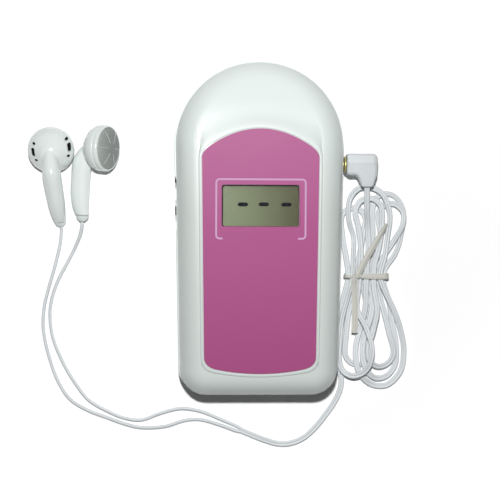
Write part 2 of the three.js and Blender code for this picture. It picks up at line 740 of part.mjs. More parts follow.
// Headphone socket: a body on the board's underside with a round nose in the side wall
function socket() {
  const tipX = pinShoulderX - pinLength;
  const body = block(
    [tipX - socketEnd - gap, socketShoulderX - gap],
    [socketY - socketHalfWidth, socketY + socketHalfWidth],
    [socketBottomZ, boardZ - gap],
  );
  const noseX = [socketShoulderX - overrun, caseHalfWidth - socketNoseSunk];
  const nose = rodAlongX(socketNoseRadius, noseX, socketY, socketZ);
  const bore = rodAlongX(pinRadius + pinClearance, [tipX - gap, caseHalfWidth + overrun], socketY, socketZ);
  return carve(join(body, nose), bore);
}

const collarX = caseHalfWidth + gap;
const pinShoulderX = collarX;
const overmouldX = collarX + collarLength + gap;
const plugReachX = overmouldX + plugArmLength;
const plugLegX = plugReachX - plugLegBack;
const plugLegEndY = socketY - plugLegLength;

// Pieces of the plug's pin, from the shoulder to the tip: radius and length of each
function pinPieces() {
  const band = pinBandLength;
  const sleeve = pinLength - 3 * band - 2 * pinInsulator;
  const list = [
    ['plug_sleeve', sleeve], ['plug_insulator_1', pinInsulator], ['plug_ring', band],
    ['plug_insulator_2', pinInsulator], ['plug_tip', 2 * band],
  ];
  let x = pinShoulderX;
  return list.map(([name, length]) => {
    const start = x;
    x -= length;
    return { name, from: start, to: x };
  });
}

function pinTip(from, to) {
  const length = from - to;
  const steps = pinTipShares.map(([radius, along]) => [pinRadius * radius, length * along]);
  const tip = turned([[0, 0], ...steps, [0, length]], smallSides);
  return tip.rotateY(-Math.PI / 2).translate(from, socketY, socketZ);
}

// Right-angled overmould: an arm along X with a low ridge, and a leg that tapers along -Y
function plugBody() {
  const arm = [];
  for (const x of [overmouldX, plugReachX - plugCorner, plugReachX]) {
    const drawIn = x < plugReachX ? 0 : plugCorner;
    const half = plugHalf - drawIn;
    const side = plugHalf - plugRidge - drawIn;
    arm.push([
      [-half, -side], [-side, -half], [side, -half], [half, -side],
      [half, side], [0, half], [-half, side],
    ].map(([y, z]) => new THREE.Vector3(x, socketY + y, socketZ + z)));
  }
  const leg = [];
  const stations = [
    [plugLegEndY, plugLegHalfEnd], [socketY - plugHalf, plugLegHalfTop], [socketY, plugLegHalfTop],
  ];
  for (const [y, half] of stations) {
    const side = half * plugLegSideShare;
    leg.push([
      [-half, -side], [-side, -half], [side, -half], [half, -side],
      [half, side], [0, half], [-half, side],
    ].map(([x, z]) => new THREE.Vector3(plugLegX - x, y, socketZ + z)));
  }
  return join(loft(arm), loft(leg));
}

// Cord routes
function smooth(route) {
  return new THREE.CatmullRomCurve3(route.map((place) => new THREE.Vector3(...place)), false, 'centripetal');
}

function cordTube(route, halfWidth, halfHeight) {
  const shape = new THREE.Shape();
  for (let side = 0; side < cordSides; side += 1) {
    const angle = (2 * Math.PI * side) / cordSides;
    const place = [halfHeight * Math.cos(angle), halfWidth * Math.sin(angle)];
    if (side === 0) shape.moveTo(...place);
    else shape.lineTo(...place);
  }
  const extrudePath = smooth(route);
  const steps = Math.round(extrudePath.getLength() / cordStep);
  return new THREE.ExtrudeGeometry(shape, { steps, bevelEnabled: false, extrudePath });
}

function hankPoints() {
  return smooth(hankRoute).getPoints(hankStepsPerPoint * (hankRoute.length - 1));
}

// Least distance between the skins of stretches that lie a number of rings or more apart along the cord
function leastSelfGap(geometry, sides, apart) {
  const place = geometry.attributes.position;
  const rings = Math.floor(place.count / sides);
  const at = (ring, side) => new THREE.Vector3().fromBufferAttribute(place, ring * sides + (side % sides));
  let least = Infinity;
  for (let a = 0; a < rings - 1; a += 1) {
    for (let b = a + apart; b < rings; b += 1) {
      if (at(a, 0).distanceTo(at(b, 0)) > 4 * cordWidth) continue;
      for (let i = 0; i < sides; i += 1) {
        const near = at(a, i);
        const middle = near.clone().add(at(a + 1, i)).divideScalar(2);
        for (let j = 0; j < sides; j += 1) {
          const far = at(b, j);
          least = Math.min(least, near.distanceTo(far), middle.distanceTo(far));
        }
      }
    }
  }
  return least;
}

function hank() {
  const geometry = sweep(hankPoints(), cordWidth / 2, cordWidth / 2, hankSides, new THREE.Vector3(0, 0, 1));
  const least = leastSelfGap(geometry, hankSides, hankClearRings);
  console.log(`hank: ${hankLoops} loops, least gap between turns ${least.toFixed(2)} mm`);
  return geometry;
}

// Tie: a band round the waist, a knot on top and two flat tails
function hankTie() {
  const lowZ = gap / 3;
  const halfWidth = tieWidth / 2;
  const tieHalfX = hankWaistHalf + cordWidth / 2 + gap + tieThickness;
  const band = block(
    [hankWaistX - tieHalfX, hankWaistX + tieHalfX],
    [hankWaistY - halfWidth, hankWaistY + halfWidth],
    [lowZ, tieTopZ],
  );
  const inside = block(
    [hankWaistX - tieHalfX + tieThickness, hankWaistX + tieHalfX - tieThickness],
    [hankWaistY - tieWidth, hankWaistY + tieWidth],
    [lowZ + tieThickness, tieTopZ - tieThickness],
  );
  const flatZ = [tieTopZ - tieThickness, tieTopZ];
  const down = block(
    [tieTailX - tieTailHalf, tieTailX + tieTailHalf],
    [hankWaistY - tieTailLength, hankWaistY],
    flatZ,
  );
  const up = block([-tieTailHalf, tieTailHalf], [0, tieTailTiltLength], flatZ);
  up.rotateZ(tieTailTilt).translate(tieTailX, hankWaistY, 0);
  const knot = turned([
    [0, 0], [knotRadius, 0], [knotRadius, knotHeight / 2], [knotRadius / 2, knotHeight], [0, knotHeight],
  ], smallSides);
  knot.translate(tieTailX, hankWaistY, flatZ[0]);
  return carve(join(band), inside).add(join(down, up, knot));
}

// Earphone pieces, each in the earphone's own frame
function budRim() {
  const inner = budRimRadius - budRimWall;
  return turned([
    [inner, -budRimDepth], [budRimRadius, -budRimDepth], [budRimRadius, -budRimDepth / 2],
    [budFaceRadius, 0], [inner, 0], [inner, -budRimDepth],
  ], budSides);
}

function budGrille() {
  const low = -budGrilleThickness;
  const [middle, dome] = [budGrilleRadius / 2, budGrilleDome * grilleDomeShare];
  return turned([
    [0, budGrilleDome + low], [middle, dome + low], [budGrilleRadius, low],
    [budGrilleRadius, 0], [middle, dome], [0, budGrilleDome],
  ], budSides);
}

function budDriver() {
  const top = -budGrilleThickness - gap;
  const radius = budGrilleRadius * driverRadiusShare;
  return turned([
    [0, top - budDriverDepth], [radius / 2, top - budDriverDepth],
    [radius, top - budDriverDepth / 2], [radius, top], [0, top],
  ], budSides);
}

function stemRings() {
  return stemShares.map(([along, across, deep, forward]) => {
    const y = budStemTop - along * (budStemTop + budStemLength);
    const ring = [];
    for (let side = 0; side < stemSides; side += 1) {
      const angle = (2 * Math.PI * side) / stemSides;
      const z = budStemDeep * (forward + deep * Math.sin(angle)) - budStemOffset;
      ring.push(new THREE.Vector3(budStemAcross * across * Math.cos(angle), y, z));
    }
    return ring;
  });
}

function budHousing() {
  const startZ = -budRimDepth - gap;
  const outer = bowlShares.map(([depth, radius]) => [budRimRadius * radius, -budStemOffset * depth]);
  outer[0][1] = startZ;
  const tip = -budStemOffset * bowlTipShare;
  const bowl = turned([[0, tip], ...outer.slice().reverse(), [0, startZ]], budSides);
  const hollowEnd = budShell - budStemOffset * bowlShares[4][0];
  const hollow = turned([
    [0, hollowEnd], [budRimRadius * bowlShares[4][1] - budShell, hollowEnd],
    [budRimRadius - 2 * budShell, -budStemOffset * bowlShares[2][0]],
    [budRimRadius - budShell, startZ + overrun], [0, startZ + overrun],
  ], budSides);
  return carve(join(bowl, loft(stemRings())), hollow);
}

function budBoot() {
  const shares = stemShares[stemShares.length - 1];
  const rings = bootShares.map(([along, wide]) => {
    const ring = [];
    for (let side = 0; side < smallSides; side += 1) {
      const angle = (2 * Math.PI * side) / smallSides;
      const halfX = budBootTipRadius + (budStemAcross * shares[1] - budBootTipRadius) * wide;
      const halfZ = budBootTipRadius + (budStemDeep * shares[2] - budBootTipRadius) * wide;
      const y = -budStemLength - gap - budBootLength * along;
      const z = budStemDeep * shares[3] - budStemOffset + halfZ * Math.sin(angle);
      ring.push(new THREE.Vector3(halfX * Math.cos(angle), y, z));
    }
    return ring;
  });
  return loft(rings);
}

// The model
const root = new THREE.Group();

function add(name, shape, material, parent = root) {
  const geometry = shape.isBufferGeometry ? shape : toGeometry(shape);
  const mesh = new THREE.Mesh(geometry, material);
  mesh.name = name;
  parent.add(mesh);
  return mesh;
}

function addCase() {
  add('front_shell', frontShell(), finish.shell);
  add('rear_shell', rearShell(), finish.shell);
  add('face_label', faceLabel(), finish.label);
  for (let i = 0; i < screwX.length; i += 1) {
    const shoulder = screwHeadLowZ + screwHeadHeight;
    const profile = [
      [0, screwHeadLowZ], [screwHeadRadius, screwHeadLowZ], [screwHeadRadius, shoulder],
      [screwRadius, shoulder], [screwRadius, screwTopZ - screwRadius], [0, screwTopZ],
    ];
    add(`case_screw_${i + 1}`, turned(profile, smallSides).translate(screwX[i], screwY[i], 0), finish.steel);
  }
}

function addDisplay() {
  const lens = prism(windowShape(lensBorder), [lensFloorZ + lensSeat, lensTopZ]);
  add('window_lens', lens.translate(0, windowCentreY, 0), finish.lens);
  const glassTopZ = lensFloorZ - glassDrop;
  const glassZ = [glassTopZ - glassThickness, glassTopZ];
  const low = windowCentreY - glassHalfHeight;
  const high = windowCentreY + glassHalfHeight;
  add('lcd_panel', block([-glassHalfWidth, glassHalfWidth], [low, high], glassZ), finish.display);
  const inner = [glassHalfWidth + gap, glassHalfHeight + gap];
  const frame = block(
    [-inner[0] - frameWall, inner[0] + frameWall],
    [windowCentreY - inner[1] - frameWall, windowCentreY + inner[1] + frameWall],
    [boardTopZ + gap, glassTopZ],
  );
  const hole = block(
    [-inner[0], inner[0]],
    [windowCentreY - inner[1], windowCentreY + inner[1]],
    [boardTopZ, glassTopZ + overrun],
  );
  add('lcd_frame', carve(join(frame), hole), finish.dark);
  const stripX = [zebraEnd - glassHalfWidth, glassHalfWidth - zebraEnd];
  const stripZ = [boardTopZ + gap, glassZ[0] - gap];
  add('zebra_strip_1', block(stripX, [high - zebraWidth, high], stripZ), finish.elastomer);
  add('zebra_strip_2', block(stripX, [low, low + zebraWidth], stripZ), finish.elastomer);
}

function addBoard() {
  const outline = loft([caseRing(boardInset, boardZ), caseRing(boardInset, boardTopZ)]);
  const throughZ = [boardZ - overrun, boardTopZ + overrun];
  const span = block([-caseHalfWidth, caseHalfWidth], [boardBottomY, boardTopY], throughZ);
  let board = toSolid(outline).intersect(toSolid(span));
  for (let i = 0; i < boardScrewX.length; i += 1) {
    const hole = post(boardScrewRadius + gap, boardScrewX[i], boardScrewY[i], throughZ, smallSides);
    board = board.subtract(toSolid(hole));
    const seat = boardTopZ + gap / 2;
    const screw = turned([
      [0, boardTopZ - boardScrewDepth], [boardScrewRadius, boardTopZ - boardScrewDepth + boardScrewRadius],
      [boardScrewRadius, seat], [boardScrewHead, seat], [boardScrewHead, seat + boardScrewHeadHeight],
      [0, seat + boardScrewHeadHeight],
    ], smallSides);
    add(`board_screw_${i + 1}`, screw.translate(boardScrewX[i], boardScrewY[i], 0), finish.steel);
  }
  add('main_board', board, finish.board);
  const chipZ = [boardTopZ + gap, boardTopZ + gap + chipHeight];
  const half = controllerSide / 2;
  add('controller_chip', block(
    [controllerX - half, controllerX + half],
    [controllerY - half, controllerY + half],
    chipZ,
  ), finish.dark);
  add('amplifier_chip', block(
    [amplifierX - amplifierLength / 2, amplifierX + amplifierLength / 2],
    [amplifierY - amplifierWidth / 2, amplifierY + amplifierWidth / 2],
    chipZ,
  ), finish.dark);
  const canZ = [chipZ[0], chipZ[0] + capacitorHeight];
  add('filter_capacitor', post(capacitorRadius, capacitorX, capacitorY, canZ), finish.steel);
}

function addProbe() {
  const discRadius = probeRadius - gap / 2;
  add('probe_lens', post(discRadius, 0, probeY, [0, lensPlateThickness], largeSides), finish.probe);
  const crystalZ = [lensPlateThickness + gap, lensPlateThickness + gap + crystalThickness];
  const apart = dividerWidth / 2 + gap;
  for (const [name, side] of [['crystal_transmit', -1], ['crystal_receive', 1]]) {
    const disc = toSolid(post(crystalRadius, 0, probeY, crystalZ, largeSides));
    const limits = [side * apart, side * (crystalRadius + overrun)].sort((a, b) => a - b);
    const span = [probeY - crystalRadius - overrun, probeY + crystalRadius + overrun];
    const half = block(limits, span, [0, crystalZ[1] + overrun]);
    add(name, disc.intersect(toSolid(half)), finish.ceramic);
  }
  const dividerX = [-dividerWidth / 2, dividerWidth / 2];
  const dividerY = [probeY - crystalRadius, probeY + crystalRadius];
  add('crystal_divider', block(dividerX, dividerY, crystalZ), finish.foam);
  const backingZ = [crystalZ[1] + gap, crystalZ[1] + gap + backingThickness];
  add('probe_backing', post(backingRadius, 0, probeY, backingZ, largeSides), finish.foam);
  const capZ = [backingZ[1] + gap, backingZ[1] + gap + probeCapThickness];
  add('probe_cap', post(discRadius, 0, probeY, capZ, largeSides), finish.dark);
}

function addWheel() {
  const wheelTopZ = wheelBottomZ + wheelThickness;
  add('volume_wheel', thumbwheel().translate(wheelX, wheelY, 0), finish.shell);
  add('pot_shaft', post(shaftRadius, wheelX, wheelY, [wheelBottomZ, wheelTopZ], smallSides), finish.steel);
  const headZ = [wheelBottomZ - gap - wheelScrewHeadHeight, wheelBottomZ - gap];
  add('wheel_screw', post(wheelScrewHead, wheelX, wheelY, headZ, smallSides), finish.steel);
  const half = potSide / 2;
  add('volume_pot', block(
    [wheelX - half, wheelX + half],
    [wheelY - half, wheelY + half],
    [wheelTopZ + gap, boardZ - gap],
  ), finish.dark);
}

function addBatteries() {
  const cellZ = doorPadTopZ + gap + cellRadius;
  const cellX = cellRadius + gap;
  const fullLength = cellLength + cellNubLength;
  const linkY = bayLowY + gap;
  const plateY = bayHighY - gap;
  const lowEnd = linkY + contactThickness;
  const highEnd = plateY - contactThickness;
  const plateZ = [cellZ - contactHalf, cellZ + contactHalf];
  add('battery_door', batteryDoor(), finish.shell);
  const linkX = [-cellX - contactHalf, cellX + contactHalf];
  add('contact_link', block(linkX, [linkY, lowEnd], plateZ), finish.steel);
  const springLength = highEnd - lowEnd - fullLength - 3 * gap;
  for (const [i, side] of [[1, -1], [2, 1]]) {
    const x = side * cellX;
    const plateX = [x - contactHalf, x + contactHalf];
    add(`contact_plate_${i}`, block(plateX, [highEnd, plateY], plateZ), finish.steel);
    const upright = side < 0;
    const battery = add(`battery_${i}`, cell(), finish.cell);
    const spring = add(`battery_spring_${i}`, contactSpring(springLength), finish.steel);
    battery.position.set(x, upright ? highEnd - gap - fullLength : lowEnd + gap + fullLength, cellZ);
    spring.position.set(x, upright ? lowEnd + gap : highEnd - gap, cellZ);
    battery.rotation.z = upright ? 0 : Math.PI;
    spring.rotation.z = upright ? 0 : Math.PI;
  }
}

function addPlug() {
  add('headphone_socket', socket(), finish.dark);
  for (const piece of pinPieces()) {
    const isTip = piece.name === 'plug_tip';
    const isBand = piece.name.startsWith('plug_insulator');
    const shape = isTip
      ? pinTip(piece.from, piece.to)
      : rodAlongX(pinRadius, [piece.to, piece.from], socketY, socketZ, smallSides);
    add(piece.name, shape, isBand ? finish.dark : finish.gold);
  }
  const ringX = [collarX + gap, collarX + collarLength];
  add('plug_collar', rodAlongX(collarRadius, ringX, socketY, socketZ), finish.gold);
  add('plug_body', plugBody(), finish.cord);
}

function addCord() {
  add('cord_lead_in', cordTube(leadInRoute, cordWidth / 2, cordThickness / 2), finish.cord);
  add('cord_hank', hank(), finish.cord);
  add('hank_tie', hankTie(), finish.tie);
  add('cord_tail', cordTube(tailRoute, cordWidth / 2, cordThickness / 2), finish.cord);
  add('lead_left', cordTube(leftLeadRoute, leadDiameter / 2, leadDiameter / 2), finish.cord);
  add('lead_right', cordTube(rightLeadRoute, leadDiameter / 2, leadDiameter / 2), finish.cord);
}

function addBud(side, place) {
  const bud = new THREE.Group();
  bud.position.set(place.x, place.y, place.z);
  bud.rotation.set(
    THREE.MathUtils.degToRad(place.tilt),
    THREE.MathUtils.degToRad(place.lean),
    THREE.MathUtils.degToRad(place.turn),
    'ZXY',
  );
  root.add(bud);
  add(`earphone_${side}_housing`, budHousing(), finish.bud, bud);
  add(`earphone_${side}_rim`, budRim(), finish.bud, bud);
  add(`earphone_${side}_grille`, budGrille(), finish.grille, bud);
  add(`earphone_${side}_driver`, budDriver(), finish.dark, bud);
  add(`earphone_${side}_boot`, budBoot(), finish.cord, bud);
}

addCase();
addDisplay();
addBoard();
addProbe();
addWheel();
addBatteries();
addPlug();
addCord();
addBud('left', leftBud);
addBud('right', rightBud);

export default root;
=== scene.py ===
"""Looks for the fetal doppler monitor. Lengths are in millimetres until they reach a mesh."""

import json
from functools import cache
from math import acos, atan2, cos, hypot, pi, radians, sin

import bpy
from mathutils import Matrix, Vector


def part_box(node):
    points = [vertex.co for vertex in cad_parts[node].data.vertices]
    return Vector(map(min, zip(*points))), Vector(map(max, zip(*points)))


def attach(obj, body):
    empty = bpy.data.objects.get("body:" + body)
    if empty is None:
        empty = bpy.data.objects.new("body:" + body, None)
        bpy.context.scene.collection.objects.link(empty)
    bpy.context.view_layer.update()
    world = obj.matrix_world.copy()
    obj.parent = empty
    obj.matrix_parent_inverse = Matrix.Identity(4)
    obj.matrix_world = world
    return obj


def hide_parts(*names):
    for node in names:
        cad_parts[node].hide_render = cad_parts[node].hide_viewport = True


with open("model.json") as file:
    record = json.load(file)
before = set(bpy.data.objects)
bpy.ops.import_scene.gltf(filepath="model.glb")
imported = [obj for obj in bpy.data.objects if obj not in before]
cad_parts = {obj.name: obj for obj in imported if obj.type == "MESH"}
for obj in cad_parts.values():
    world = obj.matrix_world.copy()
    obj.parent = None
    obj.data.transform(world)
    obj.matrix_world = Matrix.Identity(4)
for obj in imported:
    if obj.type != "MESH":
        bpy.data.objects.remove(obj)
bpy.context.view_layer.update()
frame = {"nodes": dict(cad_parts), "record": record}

MM = 0.001
UP = Vector((0, 0, 1))
GAP = 0.3

# Case, as in the part's source
CASE_HALF = 30.4
ARCH_Y = 29.4
FOOT_HALF = 28.7
FOOT_Y = -60
CORNER = 10
SEAM = 14
RISE = 12.6
FRONT_LIP = 0.6
FRONT_RUN = 7.8
FRONT_LOW = SEAM + GAP / 2
REAR_TOP = SEAM - GAP / 2
REAR_RISE = 6
REAR_RUN = 5
CROWN_Y = 36
CROWN_DROP = 4
FACE_Z = SEAM + RISE
LABEL_RISE = 0.4
WINDOW = (13.5, 7.25, 0.8)
WINDOW_Y = 7.9
PROBE_SPOT = (0, 34)
WHEEL_SPOT = (-21.3, 8, 0)
SCREWS = ((15.5, 48.5, 20), (-15.5, 48.5, -35), (22.5, -48, 8), (-22.5, -48, 50))  # x, y, turn of the head


def show(name, data):
    """New object in the scene."""
    obj = bpy.data.objects.new(name, data)
    bpy.context.scene.collection.objects.link(obj)
    return obj


# Camera
EYE = Vector((-18.69, 0.98, 399.57))
TURN = Matrix(((0.9992, 0.0037, 0.0402), (-0.0028, 0.9997, -0.0228), (-0.0403, 0.0227, 0.9989)))
SENSOR_WIDTH = 36
FOCAL_LENGTH = 77.46
NEAREST = 10


def add_camera():
    """The photograph's view. TURN's rows are the camera's right, up and back."""
    data = bpy.data.cameras.new("camera")
    data.sensor_width = SENSOR_WIDTH
    data.lens = FOCAL_LENGTH
    data.clip_start = NEAREST * MM
    camera = show("camera", data)
    camera.matrix_world = Matrix.Translation(EYE * MM) @ TURN.transposed().to_4x4()
    bpy.context.scene.camera = camera


add_camera()


# Materials
def srgb(*colour):
    """Linear colour from red, green and blue of 0 to 255."""
    shares = [value / 255 for value in colour]
    return (*(s / 12.92 if s <= 0.04045 else ((s + 0.055) / 1.055) ** 2.4 for s in shares), 1)


def set_inputs(node, **values):
    """Values for a shader node's inputs, with _ for a space in an input's name."""
    for key, value in values.items():
        node.inputs[key.replace("_", " ")].default_value = value


def add_node(tree, kind, operation=None, **values):
    node = tree.nodes.new("ShaderNode" + kind)
    if operation:
        node.operation = operation
    set_inputs(node, **values)
    return node


def wire(tree, *links):
    """Links, each given as (node, its output, node, its input)."""
    for source, output, target, entry in links:
        tree.links.new(source.outputs[output], target.inputs[entry])


def add_ramp(tree, stops):
    """Colour ramp from (share, colour) stops, lowest first."""
    ramp = add_node(tree, "ValToRGB")
    keys = ramp.color_ramp.elements
    while len(keys) < len(stops):
        keys.new(0.5)
    for key, (share, colour) in zip(keys, stops):
        key.position = share
        key.color = colour
    return ramp


BROAD_SCALE = 90
DENT_DEPTH = 0.0002
CALM = (0.35, 0.65)  # the noise mostly stays between these


def material(
    name, colour, rough, metal=0, grain=2600, bump=0.05, vary=0.03, coat=0, spread=0.06, shine=0.5,
):
    """Moulded or plated surface: fine grain in the bump, broad variation in colour and roughness."""
    made = bpy.data.materials.new(name)
    made.use_nodes = True
    tree = made.node_tree
    shader = tree.nodes["Principled BSDF"]
    set_inputs(shader, Metallic=metal, Coat_Weight=coat, Specular_IOR_Level=shine)
    place = add_node(tree, "TexCoord")
    broad = add_node(tree, "TexNoise", Scale=BROAD_SCALE, Detail=4)
    fine = add_node(tree, "TexNoise", Scale=grain, Detail=2)
    worn = add_node(tree, "MapRange", To_Min=rough - spread, To_Max=rough + spread)
    dent = add_node(tree, "Bump", Strength=bump, Distance=DENT_DEPTH)
    dent.name = "dent"
    wire(
        tree, (place, "Object", broad, "Vector"), (place, "Object", fine, "Vector"),
        (broad, "Fac", worn, "Value"), (worn, "Result", shader, "Roughness"),
        (fine, "Fac", dent, "Height"), (dent, "Normal", shader, "Normal"),
    )
    if colour:
        deep, pale = ((*(min(c * share, 1) for c in colour[:3]), 1) for share in (1 - vary, 1 + vary / 2))
        ramp = add_ramp(tree, [(CALM[0], deep), (CALM[1], pale)])
        wire(tree, (broad, "Fac", ramp, "Fac"), (ramp, "Color", shader, "Base Color"))
    return made


def painted_light_along(name, axis, stops, rough, **settings):
    """Material whose base colour follows the place along an axis, as painted light and shade: stops are
    (place in mm, colour).
    """
    made = material(name, None, rough, **settings)
    tree = made.node_tree
    low, high = stops[0][0], stops[-1][0]
    place = add_node(tree, "TexCoord")
    split = add_node(tree, "SeparateXYZ")
    span = add_node(tree, "MapRange", From_Min=low * MM, From_Max=high * MM)
    ramp = add_ramp(tree, [((spot - low) / (high - low), srgb(*colour)) for spot, colour in stops])
    wire(
        tree, (place, "Object", split, "Vector"), (split, axis, span, "Value"),
        (span, "Result", ramp, "Fac"), (ramp, "Color", tree.nodes["Principled BSDF"], "Base Color"),
    )
    return made


def glass(name, rough):
    made = material(name, (0.95, 0.97, 0.96, 1), rough, bump=0.01, vary=0, spread=0.01)
    set_inputs(made.node_tree.nodes["Principled BSDF"], Transmission_Weight=1, IOR=1.45)
    return made


def perforated(made, pitch):
    """Rows of small holes, dark inside."""
    tree = made.node_tree
    base = tree.nodes["Principled BSDF"].inputs["Base Color"]
    dent = tree.nodes["dent"]
    set_inputs(dent, Strength=0.5)
    place = add_node(tree, "TexCoord")
    cells = add_node(tree, "TexVoronoi", Scale=1 / (pitch * MM), Randomness=0.15)
    edge = add_node(tree, "MapRange", From_Min=0.2, From_Max=0.3)
    mix = add_node(tree, "Mix")
    mix.data_type = "RGBA"
    set_inputs(mix, A=srgb(96, 100, 98))
    tree.links.new(base.links[0].from_socket, mix.inputs["B"])
    tree.links.new(mix.outputs["Result"], base)
    wire(
        tree, (place, "Object", cells, "Vector"), (cells, "Distance", edge, "Value"),
        (edge, "Result", mix, "Factor"), (edge, "Result", dent, "Height"),
    )
    return made


# Case white with painted light: lighter towards the arched end, darker towards the foot.
SHELL_PAINTED_LIGHT = painted_light_along("case_white", "Y", [
    (-60, (200, 207, 204)), (5, (206, 213, 209)), (35, (220, 229, 226)), (60, (239, 248, 245)),
], 0.38, coat=0.05, shine=0.3)
# Label pink with painted light: lighter towards the arched end, darker towards the foot.
LABEL_PAINTED_LIGHT = painted_light_along("label_pink", "Y", [
    (-50, (162, 78, 126)), (0, (174, 90, 140)), (34, (187, 108, 154)),
], 0.42, grain=1800, bump=0.03, shine=0.05)
PRINT = material("label_print", srgb(207, 164, 200), 0.45, vary=0.01, shine=0.05)
# Display grey with a painted sheen: lighter to the left, darker to the right.
DISPLAY_PAINTED_SHEEN = painted_light_along("display_grey", "X", [
    (-14, (158, 166, 132)), (3, (119, 123, 89)), (14, (97, 92, 62)),
], 0.3, grain=900, bump=0.01, shine=0.1)
# Painted shadow that the window's edge casts on the display.
WINDOW_SHADOW_PAINT = material("painted_window_shadow", srgb(58, 36, 42), 0.5, vary=0.02, shine=0.1)
SEGMENT = material("display_segment", srgb(14, 14, 26), 0.7, vary=0.01, shine=0)
CORD = material("cord_white", srgb(209, 213, 215), 0.45, grain=1500, bump=0.04, shine=0.25)
BUD = material("bud_white", srgb(226, 233, 230), 0.16, bump=0.02, coat=0.3, spread=0.04)
TIE = material("tie_white", srgb(193, 193, 186), 0.55, grain=1200, bump=0.12, shine=0.2)
# Grille grey with painted shade: lighter to the left, darker to the right, under a pattern of small holes.
GRILLE_PAINTED_SHADE = perforated(painted_light_along("grille_grey", "X", [
    (-57.5, (172, 177, 174)), (-54.5, (152, 157, 154)), (-50, (108, 112, 110)),
], 0.4, shine=0.3), 0.42)
RIB = material("rib_grey", srgb(186, 191, 188), 0.3)
# Dark floor of the earphones' vents, also used as painted shadow at the wheel's scoop.
VENT_AND_PAINTED_SHADE = material("vent_and_shadow_dark", srgb(16, 14, 20), 0.7, shine=0.1)
GOLD = material("gold_plate", srgb(228, 216, 156), 0.34, metal=0.7, grain=4000, bump=0.02)
STEEL = material("plain_steel", srgb(188, 190, 193), 0.34, metal=1, grain=3200)
BLACK = material("black_plastic", srgb(42, 44, 46), 0.55)
PROBE = material("probe_grey", srgb(196, 201, 200), 0.42, grain=1400, bump=0.08)
SLOTS = dict(
    case_white=SHELL_PAINTED_LIGHT, label_pink=LABEL_PAINTED_LIGHT, display_grey=DISPLAY_PAINTED_SHEEN, black_plastic=BLACK, probe_grey=PROBE,
    steel=STEEL, gold=GOLD, cord_white=CORD, bud_white=BUD, grille_grey=GRILLE_PAINTED_SHADE, tie_white=TIE,
    window_clear=glass("window_clear", 0.04),
    elastomer=material("elastomer", srgb(84, 86, 88), 0.8),
    board_green=material("board_green", srgb(44, 104, 68), 0.35, grain=1400, bump=0.1, coat=0.2),
    crystal=material("crystal", srgb(216, 209, 196), 0.5, grain=1200),
    backing=material("backing", srgb(138, 127, 112), 0.85, grain=900, bump=0.3),
    cell_jacket=material("cell_jacket", srgb(112, 126, 140), 0.3, metal=0.6),
)
for entry in frame["record"]["subparts"]:
    node = frame["nodes"][entry["node"]]
    node.data.materials.clear()
    node.data.materials.append(SLOTS[entry["material_slot"]])


# Mesh helpers
def build(name, verts, faces, looks, smooth=35, marks=None):
    """New object from points in millimetres. marks gives each face's place in a list of looks."""
    mesh = bpy.data.meshes.new(name)
    mesh.from_pydata([tuple(c * MM for c in v) for v in verts], [], faces)
    for one in looks if isinstance(looks, list) else [looks]:
        mesh.materials.append(one)
    if marks:
        mesh.polygons.foreach_set("material_index", marks)
    return shade(show(name, mesh), smooth)


def shade(obj, smooth):
    obj.data.shade_smooth()
    obj.data.set_sharp_from_angle(angle=radians(smooth))
    return obj


def settle(obj):
    """The modifiers' result becomes the mesh."""
    shown = obj.evaluated_get(bpy.context.evaluated_depsgraph_get())
    mesh = bpy.data.meshes.new_from_object(shown)
    obj.modifiers.clear()
    obj.data = mesh
    return obj


def level(obj):
    """Large faces keep their own normal, so that a flat wall shades flat up to its softened edges."""
    step = obj.modifiers.new("level", "WEIGHTED_NORMAL")
    step.keep_sharp = True
    step.weight = 100
    return settle(obj)


def combine(obj, other, operation):
    step = obj.modifiers.new("combine", "BOOLEAN")
    step.operation = operation
    step.solver = "EXACT"
    step.object = other
    settle(obj)
    bpy.data.objects.remove(other)
    return obj


def cut(obj, *others):
    for other in others:
        combine(obj, other, "DIFFERENCE")
    return obj


def soften(obj, width, angle, segments=2):
    edge = obj.modifiers.new("soften", "BEVEL")
    edge.width = width * MM
    edge.segments = segments
    edge.limit_method = "ANGLE"
    edge.angle_limit = radians(angle)
    return settle(obj)


def loft(rings, caps=True, round_trip=False):
    """Points and faces of a skin over closed rings of the same count, anticlockwise about the way."""
    count = len(rings[0])
    verts = [point for ring in rings for point in ring]
    faces = []
    for low in range(len(rings) - (0 if round_trip else 1)):
        a, b = low * count, (low + 1) % len(rings) * count
        for i in range(count):
            j = (i + 1) % count
            faces.append((a + i, a + j, b + j, b + i))
    if caps and not round_trip:
        last = len(verts) - count
        faces += [tuple(reversed(range(count))), tuple(range(last, len(verts)))]
    return verts, faces


def turns(sides):
    """Angles spread evenly round a circle."""
    return [2 * pi * i / sides for i in range(sides)]


def around(radius, angle, x=0, y=0):
    """Point of a circle about (x, y)."""
    return (x + radius * cos(angle), y + radius * sin(angle))


def spin(degrees, axis):
    return Matrix.Rotation(radians(degrees), 4, axis)


def turned(spots, angle):
    """Section turned about the way that it follows."""
    turn = Matrix.Rotation(angle, 2)
    return [tuple(turn @ Vector(spot)) for spot in spots]


def rounded(half_a, half_b, corner, steps=8):
    """Rectangle with round corners about the origin, as (a, b, outward angle) from its right side on."""
    spots = []
    for quarter, (a, b) in enumerate(((1, 1), (-1, 1), (-1, -1), (1, -1))):
        for i in range(steps + 1):
            angle = pi / 2 * (quarter + i / steps)
            spots.append((*around(corner, angle, a * (half_a - corner), b * (half_b - corner)), angle))
    return spots


def lathe(profile, sides=64):
    """Skin turned about Z from (radius, height) points, listed from the lowest up."""
    tiny, angles = 0.01, turns(sides)
    return loft([[(*around(max(radius, tiny), t), height) for t in angles] for radius, height in profile])


